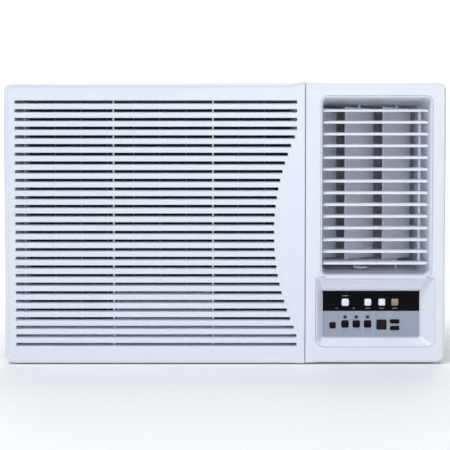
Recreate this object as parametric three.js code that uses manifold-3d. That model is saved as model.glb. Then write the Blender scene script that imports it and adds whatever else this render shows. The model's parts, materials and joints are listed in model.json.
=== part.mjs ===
// Window air conditioner, as an assembly of separate pieces. Millimetres, +Z up, front towards -Y.
// The origin is under the middle of the base pan.

import * as THREE from "three";
import { mergeVertices } from "three/addons/utils/BufferGeometryUtils.js";
import Module from "manifold-3d";

const wasm = await Module();
wasm.setup();

// ---------------------------------------------------------------- driving dimensions

const width = 660;
const height = 422;
const depth = 680;
const controlSide = 210; // width of the right-hand panel, from the seam to the edge
const gap = 0.3; // between pieces that touch
const running = 0.4; // round a pin or key that moves
const seamGap = 0.5; // each side of the seam, and under the front mouldings
const plastic = 3; // wall of the front mouldings
const innerWall = 2.5; // wall of ducts and pockets
const sheet = 1.2; // cabinet steel
const panSheet = 1.5; // base pan steel
const faceRadius = 14; // corners of the front face

const frontY = -depth / 2;
const rearY = depth / 2;
const rightX = width / 2;
const seamX = rightX - controlSide;
const midZ = height / 2 + 4;

// Front face: hinged intake grille on the left, frame panel on the right.
const grilleBottom = 1;
const grilleDepth = 34;
const slabThickness = 8;
const slitCount = 29;
const slitHeight = 3.3;
const slitLow = 30;
const slitTopMargin = 29.3;
const slitLeftMargin = 16.5;
const slitLedge = 2.2; // a slit's floor climbs this much from the face to the back of the slab
const arcRadius = 351; // the slits end on this arc
const arcDepth = 45.5; // seam to the nearest point of the arc
const arcZ = 197;
const slitRightMargin = 12.2; // no slit comes nearer the seam than this
const grilleRibs = [163, 312]; // from the left edge
const hingeInset = 5; // hinge axis below the top and ahead of the back of the grille
const hingePin = 2;
const earThickness = 6;
const earOffsets = [33, width - controlSide - 27]; // centres of the hinge ears, from the left edge

// Frame behind the grille.
const frameBottom = 1.8;
const frameDepth = 58;
const intakeLeft = 33;
const intakeRight = 20;
const intakeBottom = 62;
const intakeTop = 27;
const filterOverlap = 6;
const filterThickness = 7;
const filterStandoff = 5;
const railLip = 3;

// Discharge opening, its tapered mouth and the blades in it.
const opening = { left: 25.4, right: 23, bottom: 133, top: 23, radius: 8 };
const mouthTaper = { left: 3.6, right: 8, bottom: 5, top: 7 };
const mouthDepth = 39.5;
const bladeCount = 14;
const bladePivotIn = 18; // pivot line behind the face
const bladeFront = 11;
const bladeBack = 10;
const bladeThickness = 2.8;
const bladeTilt = THREE.MathUtils.degToRad(3);
const bladeTopMargin = 17.5;
const bladeLowMargin = 19.7;
const bladePin = 1.5;
const bladeSideGap = 1.2;
const crankReach = 14.5;
const linkWidth = 4;
const linkDepth = 5;
const crankPin = 1.3;

// Vanes behind the blades.
const vaneCount = 3;
const vaneChord = 70;
const vaneThickness = 2.5;
const vanePitch = 58;
const vaneMid = 63; // middle vane, from the right edge of the opening at the mouth's inner end
const vanePivotIn = 78; // pivot line behind the face
const vanePin = 2;
const vaneTopGap = 4;
const vaneLowGap = 16;
const vaneLever = 12;
const crankThrow = 8.5;
const crankIn = 55; // crank axis behind the face

// Discharge duct and control pocket.
const ductRearIn = 230; // back of the duct, behind the face
const ductSeamLap = 2; // duct wall left of the seam
const pocket = { left: 18, right: 17, bottom: 27.5, top: 116, low: 10, high: 3 };
const pocketTaper = { left: 8.4, right: 19, bottom: 11.5, top: 6 };
const pocketDepth = 13.5;
const overlayThickness = 1.5;
const overlayInset = 1;

// Cooling and air-moving parts.
const wheelRadius = 105;
const wheelWidth = 80;
const wheelBlades = 20;
const scrollDepth = 105;
const scrollGap = 11;
const scrollGrowth = 45;
const blowerReach = 175; // blower axis to the duct
const fanRadius = 170;
const fanBlades = 5;
const fanDepth = 40;
const shaftRadius = 6;
const motorRadius = 60;
const motorLength = 100;
const compressorRadius = 68;
const compressorHeight = 282;
const coilDepth = 50;

// ---------------------------------------------------------------- solids

/** A closed three.js geometry as a solid that can be joined and cut. */
function toSolid(geometry) {
  const bare = geometry.clone();
  bare.deleteAttribute("normal");
  bare.deleteAttribute("uv");
  const merged = mergeVertices(bare, 1e-4);
  return new wasm.Manifold(new wasm.Mesh({
    numProp: 3,
    vertProperties: new Float32Array(merged.attributes.position.array),
    triVerts: new Uint32Array(merged.index.array),
  }));
}

/** The surface of a solid as a three.js geometry. */
function toGeometry(solid) {
  const mesh = solid.getMesh();
  const geometry = new THREE.BufferGeometry();
  geometry.setAttribute("position", new THREE.BufferAttribute(new Float32Array(mesh.vertProperties), 3));
  geometry.setIndex(new THREE.BufferAttribute(new Uint32Array(mesh.triVerts), 1));
  geometry.computeVertexNormals();
  return geometry;
}

const join = (...solids) => solids.flat().reduce((sum, solid) => sum.add(solid));
const cut = (body, ...tools) => tools.flat().reduce((rest, tool) => rest.subtract(tool), body);

/** A box between two limits along each axis. */
function block(x0, x1, y0, y1, z0, z1) {
  const geometry = new THREE.BoxGeometry(x1 - x0, y1 - y0, z1 - z0);
  return toSolid(geometry.translate((x0 + x1) / 2, (y0 + y1) / 2, (z0 + z1) / 2));
}

// Where an outline's own axes and its extrusion point, for an extrusion along x, y or z.
const turns = {
  x: new THREE.Matrix4().makeBasis(
    new THREE.Vector3(0, 1, 0), new THREE.Vector3(0, 0, 1), new THREE.Vector3(1, 0, 0)),
  y: new THREE.Matrix4().makeBasis(
    new THREE.Vector3(1, 0, 0), new THREE.Vector3(0, 0, 1), new THREE.Vector3(0, -1, 0)),
  z: new THREE.Matrix4(),
};

/** An outline drawn in the plane across an axis, carried along that axis between two limits. */
function extrude(axis, points, from, to) {
  const options = { depth: to - from, bevelEnabled: false, steps: 1 };
  const geometry = new THREE.ExtrudeGeometry(new THREE.Shape(points), options);
  geometry.applyMatrix4(turns[axis]);
  const start = { x: [from, 0, 0], y: [0, to, 0], z: [0, 0, from] }[axis];
  return toSolid(geometry.translate(...start));
}

/** A round bar along an axis; centre holds the two other coordinates. */
function rod(axis, centre, radius, from, to, sides = 16) {
  return extrude(axis, arc(centre[0], centre[1], radius, 0, 2 * Math.PI, sides).slice(0, sides), from, to);
}

/** Points along an arc, both ends included. */
function arc(u, v, radius, start, end, steps) {
  return Array.from({ length: steps + 1 }, (_, step) => {
    const angle = start + ((end - start) * step) / steps;
    return new THREE.Vector2(u + radius * Math.cos(angle), v + radius * Math.sin(angle));
  });
}

/** A rectangle with round corners: radii for low left, low right, high right, high left. */
function roundRect(u0, u1, v0, v1, radii, steps = 3) {
  const [lowLeft, lowRight, highRight, highLeft] = Array.isArray(radii) ? radii : Array(4).fill(radii);
  const quarter = Math.PI / 2;
  return [
    ...arc(u0 + lowLeft, v0 + lowLeft, lowLeft, 2 * quarter, 3 * quarter, steps),
    ...arc(u1 - lowRight, v0 + lowRight, lowRight, 3 * quarter, 4 * quarter, steps),
    ...arc(u1 - highRight, v1 - highRight, highRight, 0, quarter, steps),
    ...arc(u0 + highLeft, v1 - highLeft, highLeft, quarter, 2 * quarter, steps),
  ];
}

/** A hollow bar: an outer outline less an inner one, carried along an axis. */
function ring(axis, outer, inner, from, to) {
  return cut(extrude(axis, outer, from, to), extrude(axis, inner, from - 1, to + 1));
}

/** A solid that changes from one outline in the XZ plane to another; over runs it on past each end. */
function funnel(front, back, yFront, yBack, overFront = 0, overBack = 0) {
  const length = yBack - yFront;
  const at = (share) => front.map((point, index) => point.clone().lerp(back[index], share));
  const near = at(-overFront / length);
  const far = at(1 + overBack / length);
  const count = front.length;
  const rows = [[near, yFront - overFront], [far, yBack + overBack]];
  const positions = rows.flatMap(([row, y]) => row.flatMap((point) => [point.x, y, point.y]));
  const caps = THREE.ShapeUtils.triangulateShape(near, []);
  const indices = caps.flatMap(([a, b, c]) => [a, b, c, count + c, count + b, count + a]);
  for (let i = 0; i < count; i += 1) {
    const j = (i + 1) % count;
    indices.push(i, count + i, j, j, count + i, count + j);
  }
  const geometry = new THREE.BufferGeometry();
  geometry.setAttribute("position", new THREE.Float32BufferAttribute(positions, 3));
  geometry.setIndex(indices);
  return toSolid(geometry);
}

/** A turned piece: a profile of [radius, height] pairs that starts and ends on the axis, standing on z. */
function turned(profile, x, y, z, sides = 24) {
  const points = profile.map(([radius, level]) => new THREE.Vector2(radius, level));
  const geometry = new THREE.LatheGeometry(points, sides).rotateX(Math.PI / 2);
  return toSolid(geometry.translate(x, y, z));
}

/** A round pipe through a list of points, with bends that start a bend radius before each corner. */
function pipe(points, radius, bend, sides = 8) {
  const corners = points.map((point) => new THREE.Vector3(...point));
  const path = new THREE.CurvePath();
  let last = corners[0];
  for (let i = 1; i < corners.length - 1; i += 1) {
    const into = corners[i].clone().addScaledVector(last.clone().sub(corners[i]).normalize(), bend);
    const out = corners[i].clone().addScaledVector(corners[i + 1].clone().sub(corners[i]).normalize(), bend);
    path.add(new THREE.LineCurve3(last, into));
    path.add(new THREE.QuadraticBezierCurve3(into, corners[i], out));
    last = out;
  }
  path.add(new THREE.LineCurve3(last, corners.at(-1)));
  const section = new THREE.Shape(arc(0, 0, radius, 0, 2 * Math.PI, sides).slice(0, sides));
  const length = path.getLength();
  const steps = Math.min(44, Math.ceil(length / (3 * radius)));
  return toSolid(new THREE.ExtrudeGeometry(section, { extrudePath: path, steps }));
}

// ---------------------------------------------------------------- materials and the assembly

const finishes = {
  whiteShell: { color: 0xe6eaf2, roughness: 0.42, metalness: 0 },
  blackGloss: { color: 0x050508, roughness: 0.12, metalness: 0 },
  darkWindow: { color: 0x1c0a0c, roughness: 0.1, metalness: 0 },
  amberKey: { color: 0x96785a, roughness: 0.35, metalness: 0 },
  greyPlastic: { color: 0x5c6068, roughness: 0.6, metalness: 0 },
  filterGrey: { color: 0x3c4048, roughness: 0.8, metalness: 0 },
  foamDuct: { color: 0xbfc3ca, roughness: 0.7, metalness: 0 },
  board: { color: 0x1f5a34, roughness: 0.5, metalness: 0 },
  paintedSteel: { color: 0xd6d8d6, roughness: 0.5, metalness: 0.2 },
  galvanised: { color: 0xa8adb0, roughness: 0.4, metalness: 0.9 },
  aluminium: { color: 0xc4c8cc, roughness: 0.35, metalness: 0.9 },
  copper: { color: 0xb8704a, roughness: 0.35, metalness: 0.95 },
  blackPaint: { color: 0x1a1b1d, roughness: 0.55, metalness: 0.2 },
  rubber: { color: 0x17181a, roughness: 0.85, metalness: 0 },
  lightGuide: { color: 0xd8dce0, roughness: 0.2, metalness: 0 },
};

const airConditioner = new THREE.Group();

/** Adds one named piece with its own material. */
function addPiece(name, solid, finish) {
  const mesh = new THREE.Mesh(toGeometry(solid), new THREE.MeshStandardMaterial(finishes[finish]));
  mesh.name = name;
  airConditioner.add(mesh);
}

// ---------------------------------------------------------------- intake grille

const grilleLeft = -rightX;
const grilleRight = seamX - seamGap;
const slabBackY = frontY + slabThickness;
const grilleBackY = frontY + grilleDepth;
const hingeY = grilleBackY - hingeInset;
const hingeZ = height - hingeInset;
const earCentres = earOffsets.map((offset) => grilleLeft + offset);

/** Where a slit ends on the right: on the arc, or at the margin beside the seam. */
function slitEnd(z) {
  const arcCentre = seamX - arcDepth + arcRadius;
  const rise = Math.min(arcRadius, Math.abs(z - arcZ));
  const onArc = arcCentre - Math.sqrt(arcRadius ** 2 - rise ** 2);
  return Math.min(onArc, seamX - slitRightMargin);
}

/** One slit through the slab: a level roof, and a floor that climbs to the back. */
function slit(z) {
  const over = 1;
  const slope = slitLedge / slabThickness;
  const low = z - slitHeight / 2;
  const high = z + slitHeight / 2;
  const outline = [
    new THREE.Vector2(frontY - over, low - slitLedge - over * slope),
    new THREE.Vector2(slabBackY + over, low + over * slope),
    new THREE.Vector2(slabBackY + over, high),
    new THREE.Vector2(frontY - over, high),
  ];
  return extrude("x", outline, grilleLeft + slitLeftMargin, slitEnd(z));
}

function intakeGrille() {
  const inner = faceRadius - plastic;
  const outline = roundRect(grilleLeft, grilleRight, grilleBottom, height, [faceRadius, 2, 2, faceRadius]);
  const hollow = roundRect(
    grilleLeft + plastic, grilleRight - plastic, grilleBottom + plastic, height - plastic, [inner, 1, 1, inner]);
  const pitch = (height - slitTopMargin - slitLow) / (slitCount - 1);
  const slits = Array.from({ length: slitCount }, (_, i) => slit(slitLow + i * pitch));
  let body = cut(extrude("y", outline, frontY, grilleBackY), extrude("y", hollow, slabBackY, grilleBackY + 1));
  body = cut(body, slits);

  const ribHalf = 1.2;
  const ribDepth = 10;
  const ribs = grilleRibs.map((offset) => {
    const x = grilleLeft + offset;
    return block(x - ribHalf, x + ribHalf, slabBackY - 0.5, slabBackY + ribDepth,
      grilleBottom + 1, height - 1);
  });
  const bead = rod("x", [hingeY, hingeZ], hingeInset, grilleLeft + 1, grilleRight - 1, 24);
  body = join(body, ribs, bead);

  // The top back edge is round about the hinge axis, so that it turns clear of the frame.
  const corner = block(grilleLeft - 1, grilleRight + 1, hingeY, grilleBackY + 1, hingeZ, height + 1);
  const round = rod("x", [hingeY, hingeZ], hingeInset, grilleLeft - 2, grilleRight + 2, 24);
  body = cut(body, cut(corner, round));

  // Notches for the frame's ears; the hinge pin is left standing in each.
  const reach = hingeInset + running;
  const half = earThickness / 2 + running;
  for (const x of earCentres) {
    const notch = block(x - half, x + half, hingeY - reach, grilleBackY + 1, hingeZ - reach, height + 1);
    body = cut(body, cut(notch, rod("x", [hingeY, hingeZ], hingePin, x - half - 1, x + half + 1, 12)));
  }
  return body;
}

addPiece("intake_grille", intakeGrille(), "whiteShell");

// ---------------------------------------------------------------- front frame

const frameFrontY = frontY + seamGap;
const frameMidY = grilleBackY + 1;
const frameBackY = frontY + frameDepth;
const mouthBackY = frameFrontY + mouthDepth;
const open = {
  left: seamX + opening.left,
  right: rightX - opening.right,
  bottom: opening.bottom,
  top: height - opening.top,
};
const mouth = {
  left: open.left + mouthTaper.left,
  right: open.right - mouthTaper.right,
  bottom: open.bottom + mouthTaper.bottom,
  top: open.top - mouthTaper.top,
};
const pocketFront = {
  left: seamX + pocket.left,
  right: rightX - pocket.right,
  bottom: pocket.bottom,
  top: pocket.top,
};
const pocketBack = {
  left: pocketFront.left + pocketTaper.left,
  right: pocketFront.right - pocketTaper.right,
  bottom: pocketFront.bottom + pocketTaper.bottom,
  top: pocketFront.top - pocketTaper.top,
};
const pocketBackY = frameFrontY + pocketDepth;
const overlay = {
  left: pocketBack.left + overlayInset,
  right: pocketBack.right - overlayInset,
  bottom: pocketBack.bottom + overlayInset,
  top: pocketBack.top - overlayInset,
};
const overlayRim = 4.5; // of the pocket's back, behind the overlay's edge
const bladeY = frontY + bladePivotIn;
const bladePitch = (open.top - bladeTopMargin - open.bottom - bladeLowMargin) / (bladeCount - 1);
const bladeZs = Array.from({ length: bladeCount }, (_, i) => open.top - bladeTopMargin - i * bladePitch);
const intake = {
  left: -rightX + intakeLeft,
  right: seamX - intakeRight,
  bottom: intakeBottom,
  top: height - intakeTop,
};
const filter = {
  left: intake.left - filterOverlap,
  right: intake.right + filterOverlap,
  bottom: intake.bottom - filterOverlap,
  top: intake.top + filterOverlap,
  backY: frameMidY - filterStandoff,
  frontY: frameMidY - filterStandoff - filterThickness,
};

/** The outline of a rectangular opening, grown by an amount. */
function grown(box, amount, radii) {
  const grownRadii = radii.map((radius) => radius + amount);
  return roundRect(box.left - amount, box.right + amount, box.bottom - amount, box.top + amount, grownRadii);
}

/** Where the mouth's side walls stand at a depth: the inner faces, left and right. */
function mouthSidesAt(y) {
  const share = (y - frameFrontY) / mouthDepth;
  return [open.left + mouthTaper.left * share, open.right - mouthTaper.right * share];
}

/** One rail that holds the air filter; side is -1 on the left and 1 on the right. */
function filterRail(side) {
  const edge = side < 0 ? filter.left : filter.right;
  const wall = [edge + side * running, edge + side * (running + plastic)];
  const lip = [edge - side * railLip, edge + side * (running + plastic)];
  const lipBackY = filter.frontY - running;
  const lipFrontY = lipBackY - 2;
  const span = [intake.bottom, intake.top];
  return join(
    block(Math.min(...wall), Math.max(...wall), lipFrontY, frameMidY + 1, ...span),
    block(Math.min(...lip), Math.max(...lip), lipFrontY, lipBackY, ...span));
}

/** One ear that carries the grille's hinge pin. */
function hingeEar(x) {
  const radius = hingeInset - gap;
  const half = earThickness / 2;
  const ear = join(
    rod("x", [hingeY, hingeZ], radius, x - half, x + half),
    block(x - half, x + half, hingeY, frameMidY + 1, hingeZ - radius, hingeZ + radius));
  return cut(ear, rod("x", [hingeY, hingeZ], hingePin + gap, x - half - 1, x + half + 1, 12));
}

function frontFrame() {
  const outer = roundRect(-rightX, rightX, frameBottom, height, faceRadius);
  const inner = roundRect(
    -rightX + plastic, rightX - plastic, frameBottom + plastic, height - plastic, faceRadius - plastic);
  const panelX = seamX + seamGap;
  const panelSide = block(panelX, rightX + 1, frontY - 1, frameBackY + 1, -1, height + 1);
  const grilleSide = block(-rightX - 1, panelX + plastic, frontY - 1, frameBackY + 1, -1, height + 1);
  const openRadii = Array(4).fill(opening.radius);
  const pocketRadii = [pocket.low, pocket.low, pocket.high, pocket.high];

  const rim = ring("y", outer, inner, frameMidY, frameBackY);
  const panelRim = ring("y", outer, inner, frameFrontY, frameMidY + 1).intersect(panelSide);
  const panel = extrude("y", outer, frameFrontY, frameFrontY + plastic).intersect(panelSide);
  const divider = block(panelX, panelX + plastic, frameFrontY, frameMidY + plastic, frameBottom, height);
  const backPlate = cut(
    extrude("y", outer, frameMidY, frameMidY + plastic).intersect(grilleSide),
    block(intake.left, intake.right, frameMidY - 1, frameMidY + plastic + 1, intake.bottom, intake.top));
  const mouthShell = funnel(
    grown(open, innerWall, openRadii), grown(mouth, innerWall, openRadii), frameFrontY, mouthBackY);
  const pocketShell = funnel(
    grown(pocketFront, innerWall, pocketRadii), grown(pocketBack, innerWall, pocketRadii),
    frameFrontY, pocketBackY, 0, innerWall);
  const mouthHollow = funnel(
    grown(open, 0, openRadii), grown(mouth, 0, openRadii), frameFrontY, mouthBackY, 1, 1);
  const pocketHollow = funnel(
    grown(pocketFront, 0, pocketRadii), grown(pocketBack, 0, pocketRadii), frameFrontY, pocketBackY, 1);
  const window = block(
    overlay.left + overlayRim, overlay.right - overlayRim, pocketBackY - 1, pocketBackY + innerWall + 1,
    overlay.bottom + overlayRim, overlay.top - overlayRim);

  const [sideLeft, sideRight] = mouthSidesAt(bladeY);
  const pinHoles = bladeZs.flatMap((z) => [
    rod("x", [bladeY, z], bladePin + running, sideLeft - 2 * innerWall, sideLeft + innerWall, 8),
    rod("x", [bladeY, z], bladePin + running, sideRight - innerWall, sideRight + 2 * innerWall, 8),
  ]);
  const body = join(rim, panelRim, panel, divider, backPlate, mouthShell, pocketShell,
    filterRail(-1), filterRail(1), earCentres.map(hingeEar));
  return cut(body, mouthHollow, pocketHollow, window, pinHoles);
}

addPiece("front_frame", frontFrame(), "whiteShell");

// ---------------------------------------------------------------- filter and cartridge

function airFilter() {
  const bar = 6;
  const ribHalf = 1.5;
  const columns = 5;
  const rows = 3;
  const sheetY = filter.backY - 2.5;
  const outline = roundRect(filter.left, filter.right, filter.bottom, filter.top, 4);
  const inner = roundRect(filter.left + bar, filter.right - bar, filter.bottom + bar, filter.top - bar, 1);
  const pieces = [
    ring("y", outline, inner, filter.frontY, filter.backY),
    block(filter.left + 1, filter.right - 1, sheetY, sheetY + 1, filter.bottom + 1, filter.top - 1),
  ];
  for (let i = 1; i < columns; i += 1) {
    const x = filter.left + ((filter.right - filter.left) * i) / columns;
    pieces.push(block(x - ribHalf, x + ribHalf, sheetY - 2, sheetY + 0.5, filter.bottom + 1, filter.top - 1));
  }
  for (let i = 1; i < rows; i += 1) {
    const z = filter.bottom + ((filter.top - filter.bottom) * i) / rows;
    pieces.push(block(filter.left + 1, filter.right - 1, sheetY - 2, sheetY + 0.5, z - ribHalf, z + ribHalf));
  }
  return join(pieces);
}

function cartridge() {
  const side = 3;
  const low = 63;
  const high = 113;
  const ribPitch = 10.4;
  const left = grilleLeft + grilleRibs[0] + side;
  const right = grilleLeft + grilleRibs[1] - side;
  const backY = filter.frontY - gap;
  const pieces = [block(left, right, backY - 3, backY, low, high)];
  for (let x = left + ribPitch / 2; x < right - 1; x += ribPitch) {
    pieces.push(block(x - 1, x + 1, backY - 6, backY - 2, low + 1, high - 1));
  }
  return join(pieces);
}

addPiece("air_filter", airFilter(), "filterGrey");
addPiece("deodorising_cartridge", cartridge(), "greyPlastic");

// ---------------------------------------------------------------- discharge blades

const [, wallAtBladeBack] = mouthSidesAt(bladeY + bladeBack);
const [leftAtBladeBack] = mouthSidesAt(bladeY + bladeBack);
const bladeSpan = [leftAtBladeBack + bladeSideGap, wallAtBladeBack - bladeSideGap];
const linkRight = mouth.right - 2.5;
const linkX = [linkRight - linkWidth, linkRight];

/** A point of a blade's own section, along and across its chord, in the YZ plane. */
function onBlade(z, along, across) {
  const cos = Math.cos(bladeTilt);
  const sin = Math.sin(bladeTilt);
  return new THREE.Vector2(bladeY + along * cos - across * sin, z + along * sin + across * cos);
}

function blade(z) {
  const sides = 8;
  const half = (bladeFront + bladeBack) / 2;
  const middle = (bladeBack - bladeFront) / 2;
  const section = Array.from({ length: sides }, (_, i) => {
    const angle = (2 * Math.PI * i) / sides;
    return onBlade(z, middle + half * Math.cos(angle), (bladeThickness / 2) * Math.sin(angle));
  });
  const armHalf = 1.6;
  const arm = [
    onBlade(z, bladeBack - 4, -armHalf), onBlade(z, crankReach + 2, -armHalf),
    onBlade(z, crankReach + 2, armHalf), onBlade(z, bladeBack - 4, armHalf),
  ];
  const crank = onBlade(z, crankReach, 0);
  const [sideLeft, sideRight] = mouthSidesAt(bladeY);
  const stub = innerWall + 0.5;
  return join(
    extrude("x", section, ...bladeSpan),
    rod("x", [bladeY, z], bladePin, sideLeft - stub, sideRight + stub, 6),
    extrude("x", arm, linkX[0] - 3, linkX[0] - 0.5),
    rod("x", [crank.x, crank.y], crankPin, linkX[0] - 2, linkX[1] + 1, 6));
}

bladeZs.forEach((z, i) => addPiece(`blade_${String(i + 1).padStart(2, "0")}`, blade(z), "whiteShell"));

function bladeLink() {
  const end = 2.8;
  const cranks = bladeZs.map((z) => onBlade(z, crankReach, 0));
  const y = cranks[0].x;
  const bar = block(...linkX, y - linkDepth / 2, y + linkDepth / 2, cranks.at(-1).y - end, cranks[0].y + end);
  return cut(bar, cranks.map((crank) =>
    rod("x", [crank.x, crank.y], crankPin + running, linkX[0] - 1, linkX[1] + 1, 6)));
}

addPiece("blade_link", bladeLink(), "whiteShell");

// ---------------------------------------------------------------- discharge duct, vanes and swing drive

const duct = {
  left: seamX - ductSeamLap,
  right: mouth.right,
  bottom: mouth.bottom,
  top: mouth.top,
  frontY: mouthBackY + gap,
  rearY: frontY + ductRearIn,
};
const scrollFrontY = duct.rearY - scrollDepth;
const vaneY = frontY + vanePivotIn;
const vaneXs = Array.from({ length: vaneCount }, (_, i) =>
  (duct.left + duct.right) / 2 + (i - (vaneCount - 1) / 2) * vanePitch);
const vaneLowZ = duct.bottom + vaneLowGap;
const vaneHighZ = duct.top - vaneTopGap;
const leverStep = vaneLever * Math.SQRT1_2;
const crankX = vaneXs[1];
const crankY = frontY + crankIn;
const leverPin = 1.6;
const shaftPin = 3;
const crankLift = 2; // crank disc above the duct floor
const leverLink = { low: vaneLowZ - 4.5, high: vaneLowZ - 1.5 };
const scrollExit = { bottom: duct.bottom + 4, top: midZ + wheelRadius + scrollGap + scrollGrowth };

function dischargeDuct() {
  const wall = innerWall;
  const over = 1;
  let body = block(duct.left - wall, duct.right + wall, duct.frontY, duct.rearY,
    duct.bottom - wall, duct.top + wall);
  const hollow = block(duct.left, duct.right, duct.frontY + wall, duct.rearY - wall, duct.bottom, duct.top);
  const front = block(mouth.left, mouth.right, duct.frontY - over, duct.frontY + wall + over,
    mouth.bottom, mouth.top);
  const side = block(duct.left - wall - over, duct.left + over, scrollFrontY + wall, duct.rearY - wall,
    scrollExit.bottom + wall, scrollExit.top - wall);
  body = cut(body, hollow, front, side);
  for (const x of vaneXs) {
    body = cut(body, rod("z", [x, vaneY], vanePin + running, duct.bottom - 2 * wall, duct.top + 2 * wall, 10));
  }
  return cut(body, rod("z", [crankX, crankY], shaftPin + running, duct.bottom - 2 * wall, duct.bottom + over, 12));
}

function vane(x) {
  const diagonal = (along, across) => new THREE.Vector2(
    x + (along - across) * Math.SQRT1_2, vaneY + (along + across) * Math.SQRT1_2);
  const half = vaneChord / 2;
  const thin = vaneThickness / 2;
  const section = [
    diagonal(-half, 0), diagonal(-half + 2, -thin), diagonal(half - 2, -thin),
    diagonal(half, 0), diagonal(half - 2, thin), diagonal(-half + 2, thin),
  ];
  return join(
    extrude("z", section, vaneLowZ, vaneHighZ),
    rod("z", [x, vaneY], vanePin, vaneHighZ - 1, duct.top + innerWall, 10),
    rod("z", [x, vaneY], vanePin, duct.bottom - innerWall, vaneLowZ + 1, 10),
    rod("z", [x - leverStep, vaneY - leverStep], leverPin, leverLink.low - 0.7, vaneLowZ + 1, 8));
}

function vaneLink() {
  const y = vaneY - leverStep;
  const half = 4;
  const end = 5;
  const tabHalf = 8;
  const sag = vaneLever - leverStep; // the bar comes forward by this at mid swing
  const slip = 1.45; // most that the crank pin and the bar part along X
  const slot = {
    half: leverPin + slip + gap,
    frontY: crankY - leverStep + sag - leverPin - 2 * gap,
    backY: crankY + leverPin + 2 * gap,
  };
  const tabX = crankX - leverStep;
  const body = join(
    block(vaneXs[0] - leverStep - end, vaneXs.at(-1) - leverStep + end, y - half, y + half,
      leverLink.low, leverLink.high),
    block(tabX - tabHalf, tabX + tabHalf, slot.frontY - half, y, leverLink.low, leverLink.high));
  const holes = vaneXs.map((x) =>
    rod("z", [x - leverStep, y], leverPin + running, leverLink.low - 1, leverLink.high + 1, 8));
  const slotCut = block(tabX - slot.half, tabX + slot.half, slot.frontY, slot.backY,
    leverLink.low - 1, leverLink.high + 1);
  return cut(body, holes, slotCut);
}

function swingCrank() {
  const discLow = duct.bottom + crankLift;
  const discHigh = discLow + 3;
  return join(
    rod("z", [crankX, crankY], leverStep + 2.5, discLow, discHigh, 20),
    rod("z", [crankX - leverStep, crankY], leverPin, discHigh - 1, vaneLowZ - 0.7, 8),
    rod("z", [crankX, crankY], shaftPin, duct.bottom - innerWall - 4, discLow + 1, 12));
}

function swingMotor() {
  const top = duct.bottom - innerWall - gap;
  const radius = 14;
  const length = 24;
  const earHalf = 20;
  const body = join(
    rod("z", [crankX, crankY], radius, top - length, top, 24),
    block(crankX - earHalf, crankX + earHalf, crankY - 4, crankY + 4, top - 1.5, top));
  return cut(body, rod("z", [crankX, crankY], shaftPin + running, top - 6, top + 1, 12));
}

addPiece("discharge_duct", dischargeDuct(), "foamDuct");
vaneXs.forEach((x, i) => addPiece(`vane_${i + 1}`, vane(x), "greyPlastic"));
addPiece("vane_link", vaneLink(), "greyPlastic");
addPiece("swing_crank", swingCrank(), "whiteShell");
addPiece("swing_motor", swingMotor(), "galvanised");

// ---------------------------------------------------------------- control panel

const overlayFrontY = pocketBackY - gap - overlayThickness;
const overlayBackY = pocketBackY - gap;
const boardY = pocketBackY + 10;
const switchFrontY = boardY - 3.4;
const keyStemY = pocketBackY + 5;
const keyFront = 2.5; // keys stand this far out of the overlay
const topRow = 52; // centre heights above the overlay's lower edge
const lowRow = 19;
const tempColumn = 108.6;
const keys = [
  { name: "fan_speed_button", x: 67.9, z: topRow, wide: 11, tall: 11, finish: "whiteShell" },
  { name: "mode_button", x: 88.9, z: topRow, wide: 11, tall: 11, finish: "whiteShell" },
  { name: "power_button", x: tempColumn, z: topRow, wide: 11, tall: 11, finish: "amberKey" },
  { name: "soft_key_1", x: 33.7, z: lowRow, wide: 11, tall: 11, finish: "blackGloss" },
  { name: "soft_key_2", x: 50.7, z: lowRow, wide: 11, tall: 11, finish: "blackGloss" },
  { name: "soft_key_3", x: 67.7, z: lowRow, wide: 11, tall: 11, finish: "blackGloss" },
  { name: "temp_up_key", x: tempColumn, z: 22.8, wide: 14.3, tall: 6.3, finish: "blackGloss" },
  { name: "temp_down_key", x: tempColumn, z: 12.8, wide: 14.3, tall: 6.3, finish: "blackGloss" },
];
const display = { x: 88.8, z: 18, wide: 15.4, tall: 15.4 };
const receiver = { x: 15, z: 17, wide: 9.8, tall: 9.8 };
const slider = { x: 33.8, z: topRow, wide: 11, tall: 11, travel: 5, neck: 3.4 };
const lamps = { xs: [33.7, 50.7, 67.7], z: 29.6, radius: 2.3 };

/** The outline of a small item on the overlay, grown by an amount. */
function itemOutline(item, amount, radius = 2) {
  const x = overlay.left + item.x;
  const z = overlay.bottom + item.z;
  const wide = item.wide / 2 + amount;
  const tall = item.tall / 2 + amount;
  return roundRect(x - wide, x + wide, z - tall, z + tall, radius, 2);
}

function key(item) {
  const lip = 1;
  const flangeFrontY = overlayBackY + gap;
  const flangeBackY = flangeFrontY + 1.5;
  const centre = [overlay.left + item.x, overlay.bottom + item.z];
  return join(
    extrude("y", itemOutline(item, -gap), overlayFrontY - keyFront, flangeBackY),
    extrude("y", itemOutline(item, lip), flangeFrontY, flangeBackY),
    rod("y", centre, 2, flangeBackY - 1, keyStemY, 10));
}

function controlOverlay() {
  const low = pocket.low - overlayInset;
  const high = pocket.high - overlayInset;
  const outline = roundRect(
    overlay.left, overlay.right, overlay.bottom, overlay.top, [low, low, high, high]);
  const neckRoom = { ...slider, wide: slider.neck + 2 * slider.travel, tall: slider.neck };
  const throughAll = [overlayFrontY - 1, overlayBackY + 1];
  const holes = [
    ...[...keys, display, receiver].map((item) => extrude("y", itemOutline(item, 0), ...throughAll)),
    extrude("y", itemOutline(neckRoom, running, 1), ...throughAll),
    ...lamps.xs.map((x) =>
      rod("y", [overlay.left + x, overlay.bottom + lamps.z], lamps.radius + gap, ...throughAll, 12)),
  ];
  return cut(extrude("y", outline, overlayFrontY, overlayBackY), holes);
}

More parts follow.
